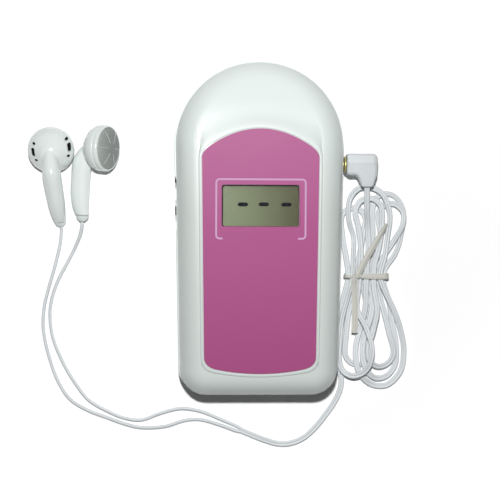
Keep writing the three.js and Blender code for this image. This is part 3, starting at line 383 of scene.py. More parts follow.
def box(name, x, y, z, look=SHELL_PAINTED_LIGHT):
    ring = [(x[0], y[0]), (x[1], y[0]), (x[1], y[1]), (x[0], y[1])]
    return build(name, *loft([[(*p, height) for p in ring] for height in z]), look)


def disc(name, radius, centre, z, sides=64):
    obj = build(name, *lathe([(radius, height) for height in z], sides), SHELL_PAINTED_LIGHT)
    return moved(obj, Matrix.Translation((*centre, 0)))


def moved(obj, matrix):
    """The mesh takes the move, given in millimetres, so that the object stays at the origin."""
    matrix = matrix.copy()
    matrix.translation *= MM
    obj.data.transform(matrix)
    return obj


def finish(obj, body, slot, *nodes):
    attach(obj, body)
    if nodes:
        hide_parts(*nodes)


def catmull(route, per=6):
    """Smooth points along a route, the same curve as in the part's source."""
    points = [Vector(p) for p in route]
    points = [points[0] * 2 - points[1], *points, points[-1] * 2 - points[-2]]
    out = []
    for k in range(1, len(points) - 2):
        p0, p1, p2, p3 = points[k - 1 : k + 3]
        d0, d1, d2 = (max((b - a).length, 1e-6) ** 0.5 for a, b in ((p0, p1), (p1, p2), (p2, p3)))
        t1 = ((p1 - p0) / d0 - (p2 - p0) / (d0 + d1) + (p2 - p1) / d1) * d1
        t2 = ((p2 - p1) / d1 - (p3 - p1) / (d1 + d2) + (p3 - p2) / d2) * d1
        for step in range(per):
            t = step / per
            c2 = -3 * p1 + 3 * p2 - 2 * t1 - t2
            c3 = 2 * p1 - 2 * p2 + t1 + t2
            out.append(p1 + t1 * t + c2 * t * t + c3 * t**3)
    out.append(points[-2])
    return out


def sweep(points, sections):
    """Rings of a section, given as (across, rising) pairs or by share of the way, along points."""
    rings = []
    last = len(points) - 1
    for k, point in enumerate(points):
        along = (points[min(k + 1, last)] - points[max(k - 1, 0)]).normalized()
        across = UP.cross(along).normalized()
        rising = along.cross(across)
        section = sections(k / last) if callable(sections) else sections
        rings.append([tuple(point + across * a + rising * b) for a, b in section])
    return rings


# Cords
CORD_WIDTH = 2.1
CORD_THICK = 1.1
LEAD = 1.2
HANK_LOOPS = 5
TWIST = ((0.45, 1.53, 0.8), (0.3, 0.71, 0))  # slow waves: height, number in each loop, start
WAIST_X = 40.4
WAIST_Y = -17.6
KNOT_X = 36

# Routes, as in the part's source. Each lead has one more point, inside the twin cord's end.
LEAD_IN = [
    (39.5, 14.9, 10), (39.9, 7.6, 7.6), (40.8, 0.8, 4), (41.2, -6.9, 3.6),
]
HANK = [
    (41.19, -7.29, 3.61), (40.5, -14.7, 4.1), (40.3, -22.6, 4), (40, -30.3, 3.2), (38.4, -37.6, 1.3),
    (36.7, -45.1, 2.4), (37.7, -52.5, 3.7), (42.5, -57.8, 1.5), (48.5, -58.4, 1.1), (53.6, -53.5, 1.2),
    (55, -45.8, 1.3), (53.7, -38.2, 2.2), (51.1, -30.9, 3.5), (47.7, -23.9, 4.1), (45.5, -17.8, 4.1),
    (47.2, -10.1, 4), (48.3, -2.4, 3.5), (48.9, 5.6, 4.3), (46.2, 12.8, 4), (42.4, 15.2, 3),
    (37.9, 15.1, 3.1), (34.2, 11.2, 4.1), (33.8, 3.8, 3), (35.9, -3.5, 1.3), (35.5, -10.9, 3.2),
    (35.1, -18.5, 4.1), (33.4, -26.1, 3.6), (31.4, -33.7, 3.8), (30.7, -41.4, 3.8), (30.5, -49.1, 3.6),
    (31.9, -52.7, 4), (35.4, -54.4, 5.3), (40, -52.1, 7), (42.1, -45, 8.3), (40.3, -37.1, 6.8),
    (37.1, -29.7, 3.5), (37.5, -22.3, 3.9), (38, -14.5, 4.2), (38.3, -6.8, 3.8), (37.3, 1, 3.5),
    (36.2, 6.6, 3.7), (38.1, 10.2, 3.7), (42.1, 11.2, 3.7), (45.5, 8.7, 3.8), (46, 1, 3.8), (45, -6.7, 3.9),
    (43.2, -14.2, 4.1), (43.2, -22, 4.4), (44.2, -29.8, 5.9), (42.9, -37.4, 5.3), (41, -45.1, 5.3),
    (42, -49.1, 4.8), (45.2, -51.1, 3.5), (49, -49.8, 2.8), (50.8, -46.2, 3.1), (49.1, -38.4, 3.3),
    (47.3, -30.8, 2.3), (45.3, -23.4, 1.5), (44.2, -17.6, 1.9), (46.2, -12.2, 1.2), (50.1, -5.7, 1.9),
    (53.7, 1.4, 4), (53.8, 6.5, 3.8), (50.9, 9.2, 2.5), (47.4, 8.6, 1.4), (45.2, 5.6, 1), (45.9, -2.3, 1.2),
    (44.1, -10.1, 1.3), (41.6, -17.6, 1.9), (42.9, -25.2, 2.1), (42.1, -32.6, 3.8), (39.8, -40.2, 3.1),
    (39.3, -48.1, 3.5), (41.1, -53, 3.5), (44.5, -55.6, 2.2), (48.8, -54.8, 1.2), (51.8, -50.6, 1.1),
    (52, -42.8, 1.1), (50.6, -35.1, 1.1), (49.4, -27.3, 1.1), (47.1, -19.9, 1.8), (47.3, -15.6, 1.9),
    (51.8, -8.8, 1.2), (54, -1.1, 1.1), (54.5, 6.8, 1.1), (51.8, 11.6, 1), (47.8, 13.1, 1.1),
    (44.2, 11.2, 1.1), (42.7, 5.9, 1.6), (43, -2.2, 1.4), (41.3, -9.8, 1.1), (39.1, -17.3, 1.9),
    (40.2, -24.9, 1.1), (41.8, -32.5, 1), (42.5, -40.5, 1.1), (42.5, -47.5, 1.1), (39.6, -50.4, 1),
    (35.7, -50.3, 1.1), (33.1, -47.2, 1.2), (33.4, -39.5, 1.2), (34.2, -31.7, 1.1), (36, -24.1, 1.5),
    (36.7, -16.2, 1.9), (38.4, -8.9, 1.1), (39.6, -1.4, 1.1), (40.3, 3.9, 1), (38.2, 7, 1.1),
    (34.6, 7.5, 1.1), (31.6, 5, 1.1), (31.8, -3, 1.1), (33.1, -10.6, 1.5), (33.9, -18.1, 1.9),
    (32.3, -25.8, 1.2), (31.1, -33.5, 1.1), (30.4, -41.3, 1.1), (30.24, -46.61, 0.98),
]
TAIL = [
    (30.24, -46.95, 0.98), (30.05, -49.1, 0.95), (30.9, -52.6, 0.9), (31.7, -56.2, 0.85), (31.2, -60, 0.85),
    (29.4, -64.2, 0.85), (26, -69.2, 0.85), (21.9, -74.3, 0.85), (17.4, -78.2, 0.85), (12.6, -80.1, 0.85),
    (8, -80.2, 0.85), (3.3, -78.9, 0.85), (-1.6, -77, 0.85), (-6.4, -74.9, 0.85),
]
LEAD_LEFT = [
    (-6.1, -75.62, 0.85), (-6.95, -75.55, 0.85), (-13.5, -73.2, 0.8), (-21, -71.1, 0.8),
    (-26.5, -71.4, 0.8), (-33.9, -73.6, 0.8), (-42.8, -74, 0.8), (-48.7, -72.7, 0.8), (-55, -70.4, 0.8),
    (-62.7, -67.4, 0.8), (-69.2, -63.2, 0.8), (-73.6, -56.3, 0.8), (-76.4, -48.6, 0.8), (-78.2, -41.5, 0.8),
    (-78.9, -35.9, 0.8), (-78.6, -30.4, 0.8), (-77.8, -26, 0.8), (-76.4, -20.8, 0.8), (-74.9, -15.6, 0.8),
    (-73.6, -10.5, 0.8), (-72.5, -5.4, 0.8), (-72.13, -0.9, 1), (-72.15, 0.4, 1.5),
]
LEAD_RIGHT = [
    (-5.7, -74.66, 0.85), (-6.75, -73.95, 0.85), (-13.5, -71, 0.8), (-21, -68, 0.8), (-28.4, -67, 0.8),
    (-35.8, -68.8, 0.8), (-42.8, -71.2, 0.8), (-49.1, -70.4, 0.8), (-55, -68, 0.8), (-62.2, -63.7, 0.8),
    (-66.1, -58.9, 0.8), (-69.7, -53.3, 0.8), (-72.7, -47.4, 0.8), (-74.9, -41.9, 0.8), (-76.1, -36.3, 0.8),
    (-76.3, -30.4, 0.8), (-75.6, -26, 0.8), (-74.2, -21.5, 0.8), (-72.2, -17, 0.8), (-70, -13, 0.8),
    (-67.4, -7.9, 1), (-65.1, -2.6, 2.9), (-64.27, 0.8, 3.9), (-64.2, 2, 3.93),
]


def twin_section(twist):
    """Two round wires side by side in one skin, with a groove between them, turned by twist."""
    steps = 9
    radius = CORD_THICK / 2
    apart = CORD_WIDTH / 2 - radius
    reach = acos(-apart / radius)
    arc = [reach * (2 * i / steps - 1) for i in range(steps + 1)]
    right = [around(radius, a, apart) for a in arc[:-1]]
    return turned(right + [(-x, -y) for x, y in right], twist)


def round_section(radius, sides=14):
    return [around(radius, t) for t in turns(sides)]


def add_cord(name, points, sections, diameter, far_end, with_pieces, *nodes, lay="loose"):
    """Cord through points in millimetres, in place of the CAD nodes."""
    obj = build(name, *loft(sweep(points, sections)), CORD, smooth=50)
    finish(obj, "headset", "cord_white", *nodes)


def main_cord_points():
    """From the plug through the hank to where the two wires part."""
    return catmull(LEAD_IN)[:-1] + catmull(HANK) + catmull(TAIL)


def main_cord_section(share):
    """The flat cord turns slowly along the hank and lies level at both ends."""
    start, end, blend = 0.03, 0.86, 0.03
    fade = max(min((share - start) / blend, (end - share) / blend, 1), 0)
    turn = 2 * pi * share * HANK_LOOPS
    return twin_section(fade * sum(high * sin(turn * times + first) for high, times, first in TWIST))


# Earphones
STEM_OFFSET = 11.8
STEM_TOP = 3.5
STEM_LENGTH = 24.8
STEM_HALF = (3.2, 3.7)
# Half profiles about the sound axis, as (radius, height)
BOWL = [
    (8.3, -2.3), (8.32, -3.5), (7.9, -5), (6.64, -6.75), (4.8, -8.25), (3.2, -9.45), (1.3, -10.15),
    (0, -10.4),
]
RIM = [
    (6.9, -2.15), (8, -2.18), (8.24, -1.98), (8.31, -1.6), (8.28, -1.2), (8.1, -0.8), (7.85, -0.52),
    (7.6, -0.45), (7.5, -0.6), (7.5, -1), (6.9, -1.1), (6.9, -2.15),
]
FACE = [
    (0, 0.4), (3.25, 0.2), (6.5, -0.5), (7.1, -0.85), (7.38, -0.85), (7.42, -0.6), (7.3, -0.4), (6.9, -0.15),
    (6.2, 0.1), (5.2, 0.36), (3.25, 0.68), (1.6, 0.85), (0, 0.9),
]
FACE_RIB = [(2.2, 0.8), (3.25, 0.7), (5.2, 0.38), (6.2, 0.12), (6.9, -0.13)]
# Share of the way down, then width, depth and forward shift as shares of STEM_HALF
STEM = [
    (0, 0.4, 0.4, 1.16), (0.085, 0.65, 0.65, 0.89), (0.186, 0.88, 0.89, 0.46), (0.288, 1.02, 0.985, 0.13),
    (0.39, 1.03, 1, 0.03), (0.56, 0.99, 1, 0), (0.73, 0.94, 0.985, 0), (0.898, 0.8, 0.865, 0.16),
    (0.983, 0.69, 0.7, 0.35), (1, 0.66, 0.65, 0.4),
]
# Share of the way down, and of the width between the lead and the stem's end
BOOT = [(0, 0.97), (0.2, 0.93), (0.45, 0.76), (0.75, 0.36), (0.95, 0.1), (1, 0)]
BOOT_GAP = 0.12
BOOT_LENGTH = 1.98
BOOT_TIP = 0.9
VENT_RADIUS = 6.4
VENT_WIDTH = 1.15
LEFT_BUD = {"place": (-75.3, 29.2, 3.42), "tilt": 24.5, "turn": 6.35, "lean": 180, "vents": (-0.6, 1.5)}
RIGHT_BUD = {"place": (-53.7, 28.6, 9.3), "tilt": 1.5, "turn": -2.8, "lean": 63, "vents": (0.7, 1.5)}


def bud_matrix(bud):
    turn = spin(bud["turn"], "Z") @ spin(bud["tilt"], "X") @ spin(bud["lean"], "Y")
    return Matrix.Translation(bud["place"]) @ turn


def bud_housing(name):
    """Bowl and stem grown together with a soft elbow."""
    bowl = [(p.x, p.y) for p in catmull([(r, z, 0) for r, z in BOWL], 4)]
    obj = build(name, *lathe([(0, BOWL[-1][1]), *bowl[::-1][1:], (0, BOWL[0][1])], 72), BUD)
    spread = 10
    widths = catmull([(along * spread, across, deep) for along, across, deep, _ in STEM], 4)
    shifts = catmull([(along * spread, forward, 0) for along, _, _, forward in STEM], 4)
    stem = []
    for p, shift in zip(widths, shifts):
        y = STEM_TOP - p.x / spread * (STEM_TOP + STEM_LENGTH)
        stem.append([
            (STEM_HALF[0] * p.y * cos(t), y, STEM_HALF[1] * (shift.y + p.z * sin(t)) - STEM_OFFSET)
            for t in turns(32)
        ])
    combine(obj, build("stem", *loft(stem), BUD), "UNION")
    grown = obj.modifiers.new("grown", "REMESH")
    grown.mode = "VOXEL"
    grown.voxel_size = 0.28 * MM
    flow = obj.modifiers.new("flow", "SMOOTH")
    flow.factor = 0.6
    flow.iterations = 9
    return shade(settle(obj), 60)


def bowl_depth(radius):
    """Height of the bowl's back at a distance from the sound axis."""
    spots = BOWL[::-1]
    for (r0, z0), (r1, z1) in zip(spots, spots[1:]):
        if radius <= r1:
            return z0 + (z1 - z0) * (radius - r0) / (r1 - r0)
    return spots[-1][1]


def vent_slot(name, shift, angle, half_angle, width, low, high):
    """Curved slot with round ends, from low to high above the bowl's skin. Angles are in degrees."""
    half = width / 2
    skin = bowl_depth(hypot(*around(VENT_RADIUS, radians(angle), *shift)))
    outline = []
    side_steps, end_steps = 10, 6
    for side, start, stop in ((1, -half_angle, half_angle), (-1, half_angle, -half_angle)):
        for i in range(side_steps + 1):
            turn = radians(angle + start + (stop - start) * i / side_steps)
            outline.append(around(VENT_RADIUS + side * half, turn))
        tip = radians(angle + stop)
        for i in range(1, end_steps):
            turn = tip + (0 if side > 0 else pi) + pi * i / end_steps
            outline.append(around(half, turn, *around(VENT_RADIUS, tip)))
    rings = [[(x + shift[0], y + shift[1], skin + z) for x, y in outline] for z in (low, high)]
    return build(name, *loft(rings), VENT_AND_PAINTED_SHADE)


def bud_vents(housing, side, bud):
    """Two rows of three slots in the bowl's back, with a dark floor in each."""
    vents = []
    for middle in (0, 180):
        for angle, half_angle in ((-27, 0.1), (0, 9), (27, 0.1)):
            spot = (bud["vents"], middle + angle, half_angle)
            cut(housing, vent_slot("slot", *spot, VENT_WIDTH, -1.5, 0.9))
            vents.append(vent_slot(f"vent_{side}_{len(vents)}", *spot, VENT_WIDTH + 0.15, 0.7, 1.2))
    shade(housing, 50)
    return vents


def bud_boot(name):
    """Rounded lower end of the stem, closing in on the lead."""
    wide, deep = (half * share - BOOT_TIP for half, share in zip(STEM_HALF, STEM[-1][1:3]))
    centre = STEM_HALF[1] * STEM[-1][3] - STEM_OFFSET
    return build(name, *loft([
        [
            (
                (BOOT_TIP + wide * share) * cos(t), -STEM_LENGTH - BOOT_GAP - BOOT_LENGTH * along,
                centre + (BOOT_TIP + deep * share) * sin(t),
            )
            for t in turns(32)
        ]
        for along, share in BOOT
    ]), BUD)


def bud_ridge(name):
    """Thin raised seam across the bowl's back."""
    reach, height, start, span, steps = 6.95, -6.35, 52, 76, 24
    angles = [radians(start + span * i / steps) for i in range(steps + 1)]
    arc = [Vector((*around(reach, a), height)) for a in angles]
    return build(name, *loft(sweep(arc, round_section(0.2, 10))), BUD)


def bud_ribs(side):
    """Six thin spokes on the grille."""
    ribs = []
    for k, turn in enumerate(turns(6)):
        line = [Vector((*around(r, turn), z)) for r, z in FACE_RIB]
        ribs.append(build(f"face_rib_{side}_{k}", *loft(sweep(line, round_section(0.14, 8))), RIB))
    return ribs


def add_bud(side, bud):
    head = f"look_earphone_{side}_"
    housing = bud_housing(head + "housing")
    vents = bud_vents(housing, side, bud)
    rim = build(head + "rim", *lathe(RIM, 96), BUD)
    grille = build(head + "grille", *lathe(FACE, 72), GRILLE_PAINTED_SHADE)
    boot = bud_boot(head + "boot")
    ridge = bud_ridge(f"ridge_{side}")
    ribs = bud_ribs(side)
    place = bud_matrix(bud)
    for obj in (housing, rim, grille, boot, ridge, *vents, *ribs):
        moved(obj, place)
    for obj, part in ((housing, "housing"), (rim, "rim"), (grille, "grille"), (boot, "boot")):
        slot = "grille_grey" if obj == grille else "bud_white"
        finish(obj, "headset", slot, f"earphone_{side}_{part}")
    for pieces, slot in (([ridge], "bud_white"), (vents, "black_plastic"), (ribs, "grille_grey")):
        for piece in pieces:
            finish(piece, "headset", slot)
    return [housing, rim, grille, boot]


buds = {"left": add_bud("left", LEFT_BUD), "right": add_bud("right", RIGHT_BUD)}


# Plug
PLUG_Y = 23.3
PLUG_Z = 10
COLLAR_X = CASE_HALF + GAP
ALONG_X = spin(90, "Y")
ARM_HALF = 3.8
ARM_SIDE = 3.1
# Along X, and how far the arm draws in there
ARM = [(31.9, 0.5), (32.3, 0.1), (33, 0), (41.4, 0), (42.4, 0.35), (43.1, 1.3)]
# Along Y, then left edge, right edge and half height
LEG = [
    (15.2, 37.75, 41.25, 1.3), (15.5, 37.45, 41.55, 1.62), (16.8, 36.95, 42, 2), (17.8, 36.5, 42.3, 2.25),
    (18.5, 36.15, 42.5, 2.43), (19.1, 35.7, 42.7, 2.6), (19.6, 35, 42.85, 2.7), (22, 35, 42.9, 3.3),
]
# Half profiles about the plug's axis, as (radius, place)
COLLAR = [
    (2.4, 0), (2.75, 0.02), (2.9, 0.12), (2.9, 0.24), (2.78, 0.3), (2.9, 0.36), (2.9, 0.5),
    (2.75, 0.6), (2.4, 0.6),
]
PIN = [
    (1.75, 0), (1.75, 5), (1.62, 5.03), (1.62, 5.57), (1.75, 5.6), (1.75, 8.2), (1.62, 8.23), (1.62, 8.77),
    (1.75, 8.8), (1.75, 9.3), (1.3, 10.6), (1.26, 10.9), (1.72, 11.9), (1.74, 12.3), (1.3, 13.3), (0.5, 13.9),
    (0, 14),
]
PIN_DARK = (2, 6)  # steps of the profile that are insulators


def plug_section(half, side, ridge, fall, drop):
    """Soft box with a roof, as (sideways, up) pairs. fall and drop lower the slopes beside the ridge."""
    return [
        (-half, -side), (-side, -half), (side, -half), (half, -side), (half, side - fall),
        (side, half - fall), (ridge, half), (-side, half - drop), (-half, side - drop),
    ]


def add_plug():
    arm = []
    for x, draw in ARM:
        section = plug_section(ARM_HALF - draw, ARM_SIDE - draw, 0.5, 0.35, 1)
        arm.append([(x, PLUG_Y + y, PLUG_Z + z) for y, z in section])
    body = build("look_plug_body", *loft(arm), CORD)
    leg = []
    for y, left, right, high in LEG:
        centre, wide = (left + right) / 2, (right - left) / 2
        section = plug_section(high, high * 0.78, 0, 0, 0)
        leg.append([(centre - x * wide / high, y, PLUG_Z + z) for x, z in section])
    combine(body, build("leg", *loft(leg), CORD), "UNION")
    soften(body, 0.35, 30, 3)
    shade(body, 14)
    collar = build("look_plug_collar", *lathe(COLLAR), GOLD)
    moved(collar, Matrix.Translation((COLLAR_X + GAP, PLUG_Y, PLUG_Z)) @ ALONG_X)
    sides = 48
    verts, faces = lathe(PIN, sides)
    marks = [int(k // sides in PIN_DARK) for k in range(len(faces))]
    pin = build("look_plug_pin", verts, faces, [GOLD, BLACK], marks=marks)
    moved(pin, Matrix.Translation((COLLAR_X, PLUG_Y, PLUG_Z)) @ ALONG_X.inverted())
    finish(body, "headset", "cord_white", "plug_body")
    finish(collar, "headset", "gold", "plug_collar")
    finish(pin, "headset", "gold", *(
        f"plug_{part}" for part in ("sleeve", "ring", "tip", "insulator_1", "insulator_2")
    ))
    return [body, collar, pin]


plug_pieces = add_plug()


# Tie
def strip_section(width, twist):
    """Thin strip with a wire along its middle."""
    half = width / 2
    return turned([
        (half, -0.1), (half, 0.1), (0.42, 0.12), (0.25, 0.3), (-0.25, 0.3), (-0.42, 0.12), (-half, 0.1),
        (-half, -0.1),
    ], twist)


def narrow(share):
    """1 at the knot, 0 from a fifth of a tail's way on."""
    return max(0, 1 - share * 5)


def lower_tail(share):
    return strip_section(2.3 - 1.3 * narrow(share), 0.1)


def upper_tail(share):
    """The longer tail turns a little on edge at its end."""
    late = max(0, share - 0.7) / 0.3
    return strip_section(2.25 - 1.15 * narrow(share) - 0.9 * late, 0.12 + 0.5 * late)


# Section of the band, as (outward, sideways share of its half width)
BAND = [(-0.12, -1), (0.12, -1), (0.12, -0.7), (0.3, -0.5), (0.12, -0.3), (0.12, 1), (-0.12, 1)]
# The tails' routes, from the knot in X and from the waist in Y
TAIL_DOWN = [
    (0.3, 0.5, 6.5), (-0.25, -0.8, 6.6), (-0.35, -2.6, 6), (-0.2, -5, 5.66), (0, -10, 5.6),
    (-0.05, -16, 5.6), (-0.2, -20.8, 5.6),
]
TAIL_UP = [
    (0.4, -0.4, 6.6), (1.3, 1.6, 6.7), (2.4, 3.7, 6.2), (4.1, 6.8, 5.75), (6.6, 11, 5.65),
    (9.3, 15.6, 5.7), (11.6, 19.4, 5.62),
]


def tie_band():
    """Strip round the waist, drawn narrower towards the knot."""
    low, high = 0.4, 5.58
    middle = (low + high) / 2
    loop = [(x, middle + z, angle) for x, z, angle in rounded(8.2, high - middle, 2.1)]
    loop[9:9] = [(x, high, pi / 2) for x in (4, 2, 0, -1.5, -3, -4.4, -5.4)]
    rings = []
    for x, z, angle in loop:
        drawn = max(0, min((1 - x) / 3, 1)) if z > 1.5 else 0
        half = 1.05 - 0.5 * drawn
        rings.append([
            (WAIST_X + x + cos(angle) * a, WAIST_Y - 0.1 * drawn + half * b, z + sin(angle) * a)
            for a, b in BAND
        ])
    return build("look_hank_tie", *loft(rings, round_trip=True), TIE, smooth=50)


def knot_line(start):
    """One of the two strands that are twisted round each other."""
    steps, twists = 24, 1.25
    points = []
    for i in range(steps + 1):
        share = i / steps
        turn = start + 2 * pi * twists * share
        spread = 0.62 * sin(pi * min(max(share, 0.12), 0.88))
        x = KNOT_X - 1.1 + 2.9 * share
        y = WAIST_Y - 0.2 + 0.5 * share + spread * cos(turn)
        points.append(Vector((x, y, 6.35 + spread * sin(turn))))
    return points


def tail_line(route):
    return catmull([(KNOT_X + x, WAIST_Y + y, z) for x, y, z in route])


def add_tie():
    """Strip drawn round the waist, twisted with itself and left with two tails."""
    band = tie_band()
    parts = []
    for name, line, sections in (
        ("knot_one", knot_line(0), strip_section(1.1, 0.4)),
        ("knot_two", knot_line(pi), strip_section(1.1, -0.4)),
        ("tail_down", tail_line(TAIL_DOWN), lower_tail), ("tail_up", tail_line(TAIL_UP), upper_tail),
    ):
        parts.append(build(name, *loft(sweep(line, sections)), TIE, smooth=50))
    finish(band, "headset", "tie_white", "hank_tie")
    for part in parts:
        finish(part, "headset", "tie_white")
    return [band, *parts]


tie_pieces = add_tie()

add_cord(
    "look_cord", main_cord_points(), main_cord_section, CORD_WIDTH, "object", plug_pieces + tie_pieces,
    "cord_lead_in", "cord_hank", "cord_tail", lay="coiled",
)
for side, route in (("left", LEAD_LEFT), ("right", LEAD_RIGHT)):
    add_cord(
        f"look_lead_{side}", catmull(route), round_section(LEAD / 2), LEAD, "fitting", buds[side],
        f"lead_{side}",
    )


# Case
ARCH_STEPS = 120
CORNER_STEPS = 16
SIDE_STEPS = 24
FOOT_STEPS = 36


def case_outline(inset):
    """Half round at one end, then sides that taper a little to a foot with round corners."""
    arch, end, low = CASE_HALF - inset, FOOT_HALF - inset, FOOT_Y + inset
    corner = max(CORNER - inset, 0.8)
    angles = [pi * i / ARCH_STEPS for i in range(ARCH_STEPS + 1)]
    points = [around(arch, a, 0, ARCH_Y) for a in angles]
    points += between(points[-1], (-end, low + corner), SIDE_STEPS)
    for side, start in ((-1, pi), (1, 1.5 * pi)):
        for i in range(CORNER_STEPS + 1):
            angle = start + pi / 2 * i / CORNER_STEPS
            points.append(around(corner, angle, side * (end - corner), low + corner))
        if side < 0:
            points += between(points[-1], (end - corner, low), FOOT_STEPS)
    return points + between(points[-1], points[0], SIDE_STEPS)


def between(start, end, steps):
    """Evenly spaced points inside a straight line."""
    return [tuple(a + (b - a) * i / steps for a, b in zip(start, end)) for i in range(1, steps)]


def case_ring(inset, z):
    return [(x, y, z) for x, y in case_outline(inset)]


def crowned(x, y, z):
    """The face falls off towards the arched end."""
    past = max(y - CROWN_Y, 0) / (ARCH_Y + CASE_HALF - CROWN_Y)
    return (x, y, z - CROWN_DROP * past * past * (z - SEAM) / RISE)


def bent(a, b, c, steps):
    """Points after a on the curve from a by way of b to c."""
    out = []
    for i in range(1, steps + 1):
        t = i / steps
        out.append(tuple((1 - t) ** 2 * p + 2 * t * (1 - t) * q + t * t * r for p, q, r in zip(a, b, c)))
    return out


# The label's outline, as (half width, Y): where its sides end, where its corners end, and both middles
PANEL_TOP = (20.4, 24.4)
PANEL_FOOT = (19.5, -44.5)
SHOULDER = (17.4, 28.7)
HEEL = (15, -49.1)
CREST = 34.6
SOLE = -50.6


def panel_end(side, shoulder, crest):
    """From one side over the end's arc to the other side. The corners run into the arc without a kink."""
    (reach, y), (in_x, in_y) = side, shoulder
    peak = 2 * crest - in_y
    turn = in_y - (peak - in_y) * (reach - in_x) / in_x
    return [
        *bent(side, (reach, turn), shoulder, 12), *bent(shoulder, (0, peak), (-in_x, in_y), 40),
        *bent((-in_x, in_y), (-reach, turn), (-reach, y), 12),
    ]


@cache
def panel_outline(grow):
    top, foot = (PANEL_TOP[0] + grow, PANEL_TOP[1]), (-PANEL_FOOT[0] - grow, PANEL_FOOT[1])
    shoulder, heel = (SHOULDER[0] + grow, SHOULDER[1] + grow), (-HEEL[0] - grow, HEEL[1] - grow)
    upper = panel_end(top, shoulder, CREST + grow)
    lower = panel_end(foot, heel, SOLE - grow)
    return [(-foot[0], foot[1]), top, *upper, foot, *lower[:-1]]


def window_outline(grow=0):
    half_x, half_y, corner = WINDOW[0] + grow, WINDOW[1] + grow, WINDOW[2] + max(grow, 0)
    return [(x, WINDOW_Y + y) for x, y, _ in rounded(half_x, half_y, corner)]


def ray_hit(outline, centre, angle):
    """Where a ray from the centre leaves a convex outline."""
    parallel, slack = 1e-12, 1e-9
    dx, dy = around(1, angle)
    best = 0
    for (ax, ay), (bx, by) in zip(outline, outline[1:] + outline[:1]):
        ex, ey = bx - ax, by - ay
        cross = dx * ey - dy * ex
        if abs(cross) < parallel:
            continue
        fx, fy = ax - centre[0], ay - centre[1]
        if -slack <= (fx * dy - fy * dx) / cross <= 1 + slack:
            best = max(best, (fx * ey - fy * ex) / cross)
    return (centre[0] + dx * best, centre[1] + dy * best)


FULLNESS = 0.84  # below 1, the front edge is fuller than the solid's
FRONT_STEPS = 16
FRONT_INSIDE = [(2.6, 15.5), (2.6, FRONT_LOW), (0.8, FRONT_LOW), (0.6, 14.33)]  # (inset, height)
FACE_CENTRE = (0, -8)
FACE_STEPS = 6
# Towards the arched end, the band round the label spreads wide from here on, over this length
SPREAD_FROM = 25.5
SPREAD_OVER = 4.5
# Band round the label: growth beside the label, growth above it, and height
BAND_STEPS = [
    (1.25, 6, 0), (1.24, 4.4, 0.07), (1.18, 3, 0.2), (1.06, 1.9, 0.33), (0.85, 1, 0.4), (0.32, 0.32, 0.4),
    (0.2, 0.2, 0.36), (0.15, 0.15, 0.25), (0.15, 0.15, 0), (-1.2, -1.2, 0), (-1.2, -1.2, -0.6),
]
# Wall of the display's well: growth of the window, and height
WELL = [(1.6, 25.52), (0.12, 25.52), (0, 25.4), (0, 24.62), (1.2, 24.62)]


def front_edge():
    """Rings from the inside lip over the rounded edge to the face."""
    rings = [case_ring(inset, z) for inset, z in FRONT_INSIDE]
    for i in range(1, FRONT_STEPS + 1):
        angle = pi / 2 * i / FRONT_STEPS
        inset = FRONT_LIP + FRONT_RUN * (1 - max(cos(angle), 0) ** FULLNESS)
        ring = case_ring(inset, FRONT_LOW + (FACE_Z - FRONT_LOW) * sin(angle) ** FULLNESS)
        rings.append([crowned(*p) for p in ring])
    return rings


def label_band(angles):
    """Rings of the raised band round the label, in towards the label's bed."""
    beside = [ray_hit(panel_outline(0), FACE_CENTRE, a) for a in angles]
    soft = [max(0, min((y - SPREAD_FROM) / SPREAD_OVER, 1)) for _, y in beside]
    soft = [s * s * (3 - 2 * s) for s in soft]
    rings = []
    for plain, wide, height in BAND_STEPS:
        ring = []
        for a, s in zip(angles, soft):
            outline = panel_outline(round(plain + (wide - plain) * s, 2))
            x, y, z = crowned(*ray_hit(outline, FACE_CENTRE, a), FACE_Z)
            ring.append((x, y, z + height))
        rings.append(ring)
    return rings


def add_front():
    edge = front_edge()
    plateau = case_outline(FRONT_LIP + FRONT_RUN)
    band = label_band([atan2(y - FACE_CENTRE[1], x - FACE_CENTRE[0]) for x, y in plateau])
    face = []
    for k in range(1, FACE_STEPS):
        share = k / FACE_STEPS
        face.append([
            crowned(px + (qx - px) * share, py + (qy - py) * share, FACE_Z)
            for (px, py), (qx, qy, _) in zip(plateau, band[0])
        ])
    verts, faces = loft(edge + face + band, caps=False)
    base = len(verts)
    well = [[(*spot, z) for spot in window_outline(grow)] for grow, z in WELL]
    well_verts, well_faces = loft(well, caps=False)
    verts += well_verts
    faces += [tuple(base + i for i in reversed(corners)) for corners in well_faces]
    obj = build("look_front_shell", verts, faces, SHELL_PAINTED_LIGHT, smooth=60)
    finish(obj, "monitor", "case_white", "front_shell")


def add_label():
    """Thin plate with a soft upper edge, open over the display."""
    centre = (0, WINDOW_Y)
    outer, inner = panel_outline(0), window_outline()
    angles = sorted({round(atan2(y - centre[1], x - centre[0]), 5) for x, y in outer + inner})
    low, high, soft = FACE_Z + 0.12, FACE_Z + LABEL_RISE, 0.05
    rings = []
    for outline, z in (
        (outer, low), (outer, high - soft), (panel_outline(-soft), high), (window_outline(soft), high),
        (inner, high - soft), (inner, low),
    ):
        rings.append([(*ray_hit(outline, centre, a), z) for a in angles])
    obj = build("look_face_label", *loft(rings, round_trip=True), LABEL_PAINTED_LIGHT)
    finish(obj, "monitor", "label_pink", "face_label")


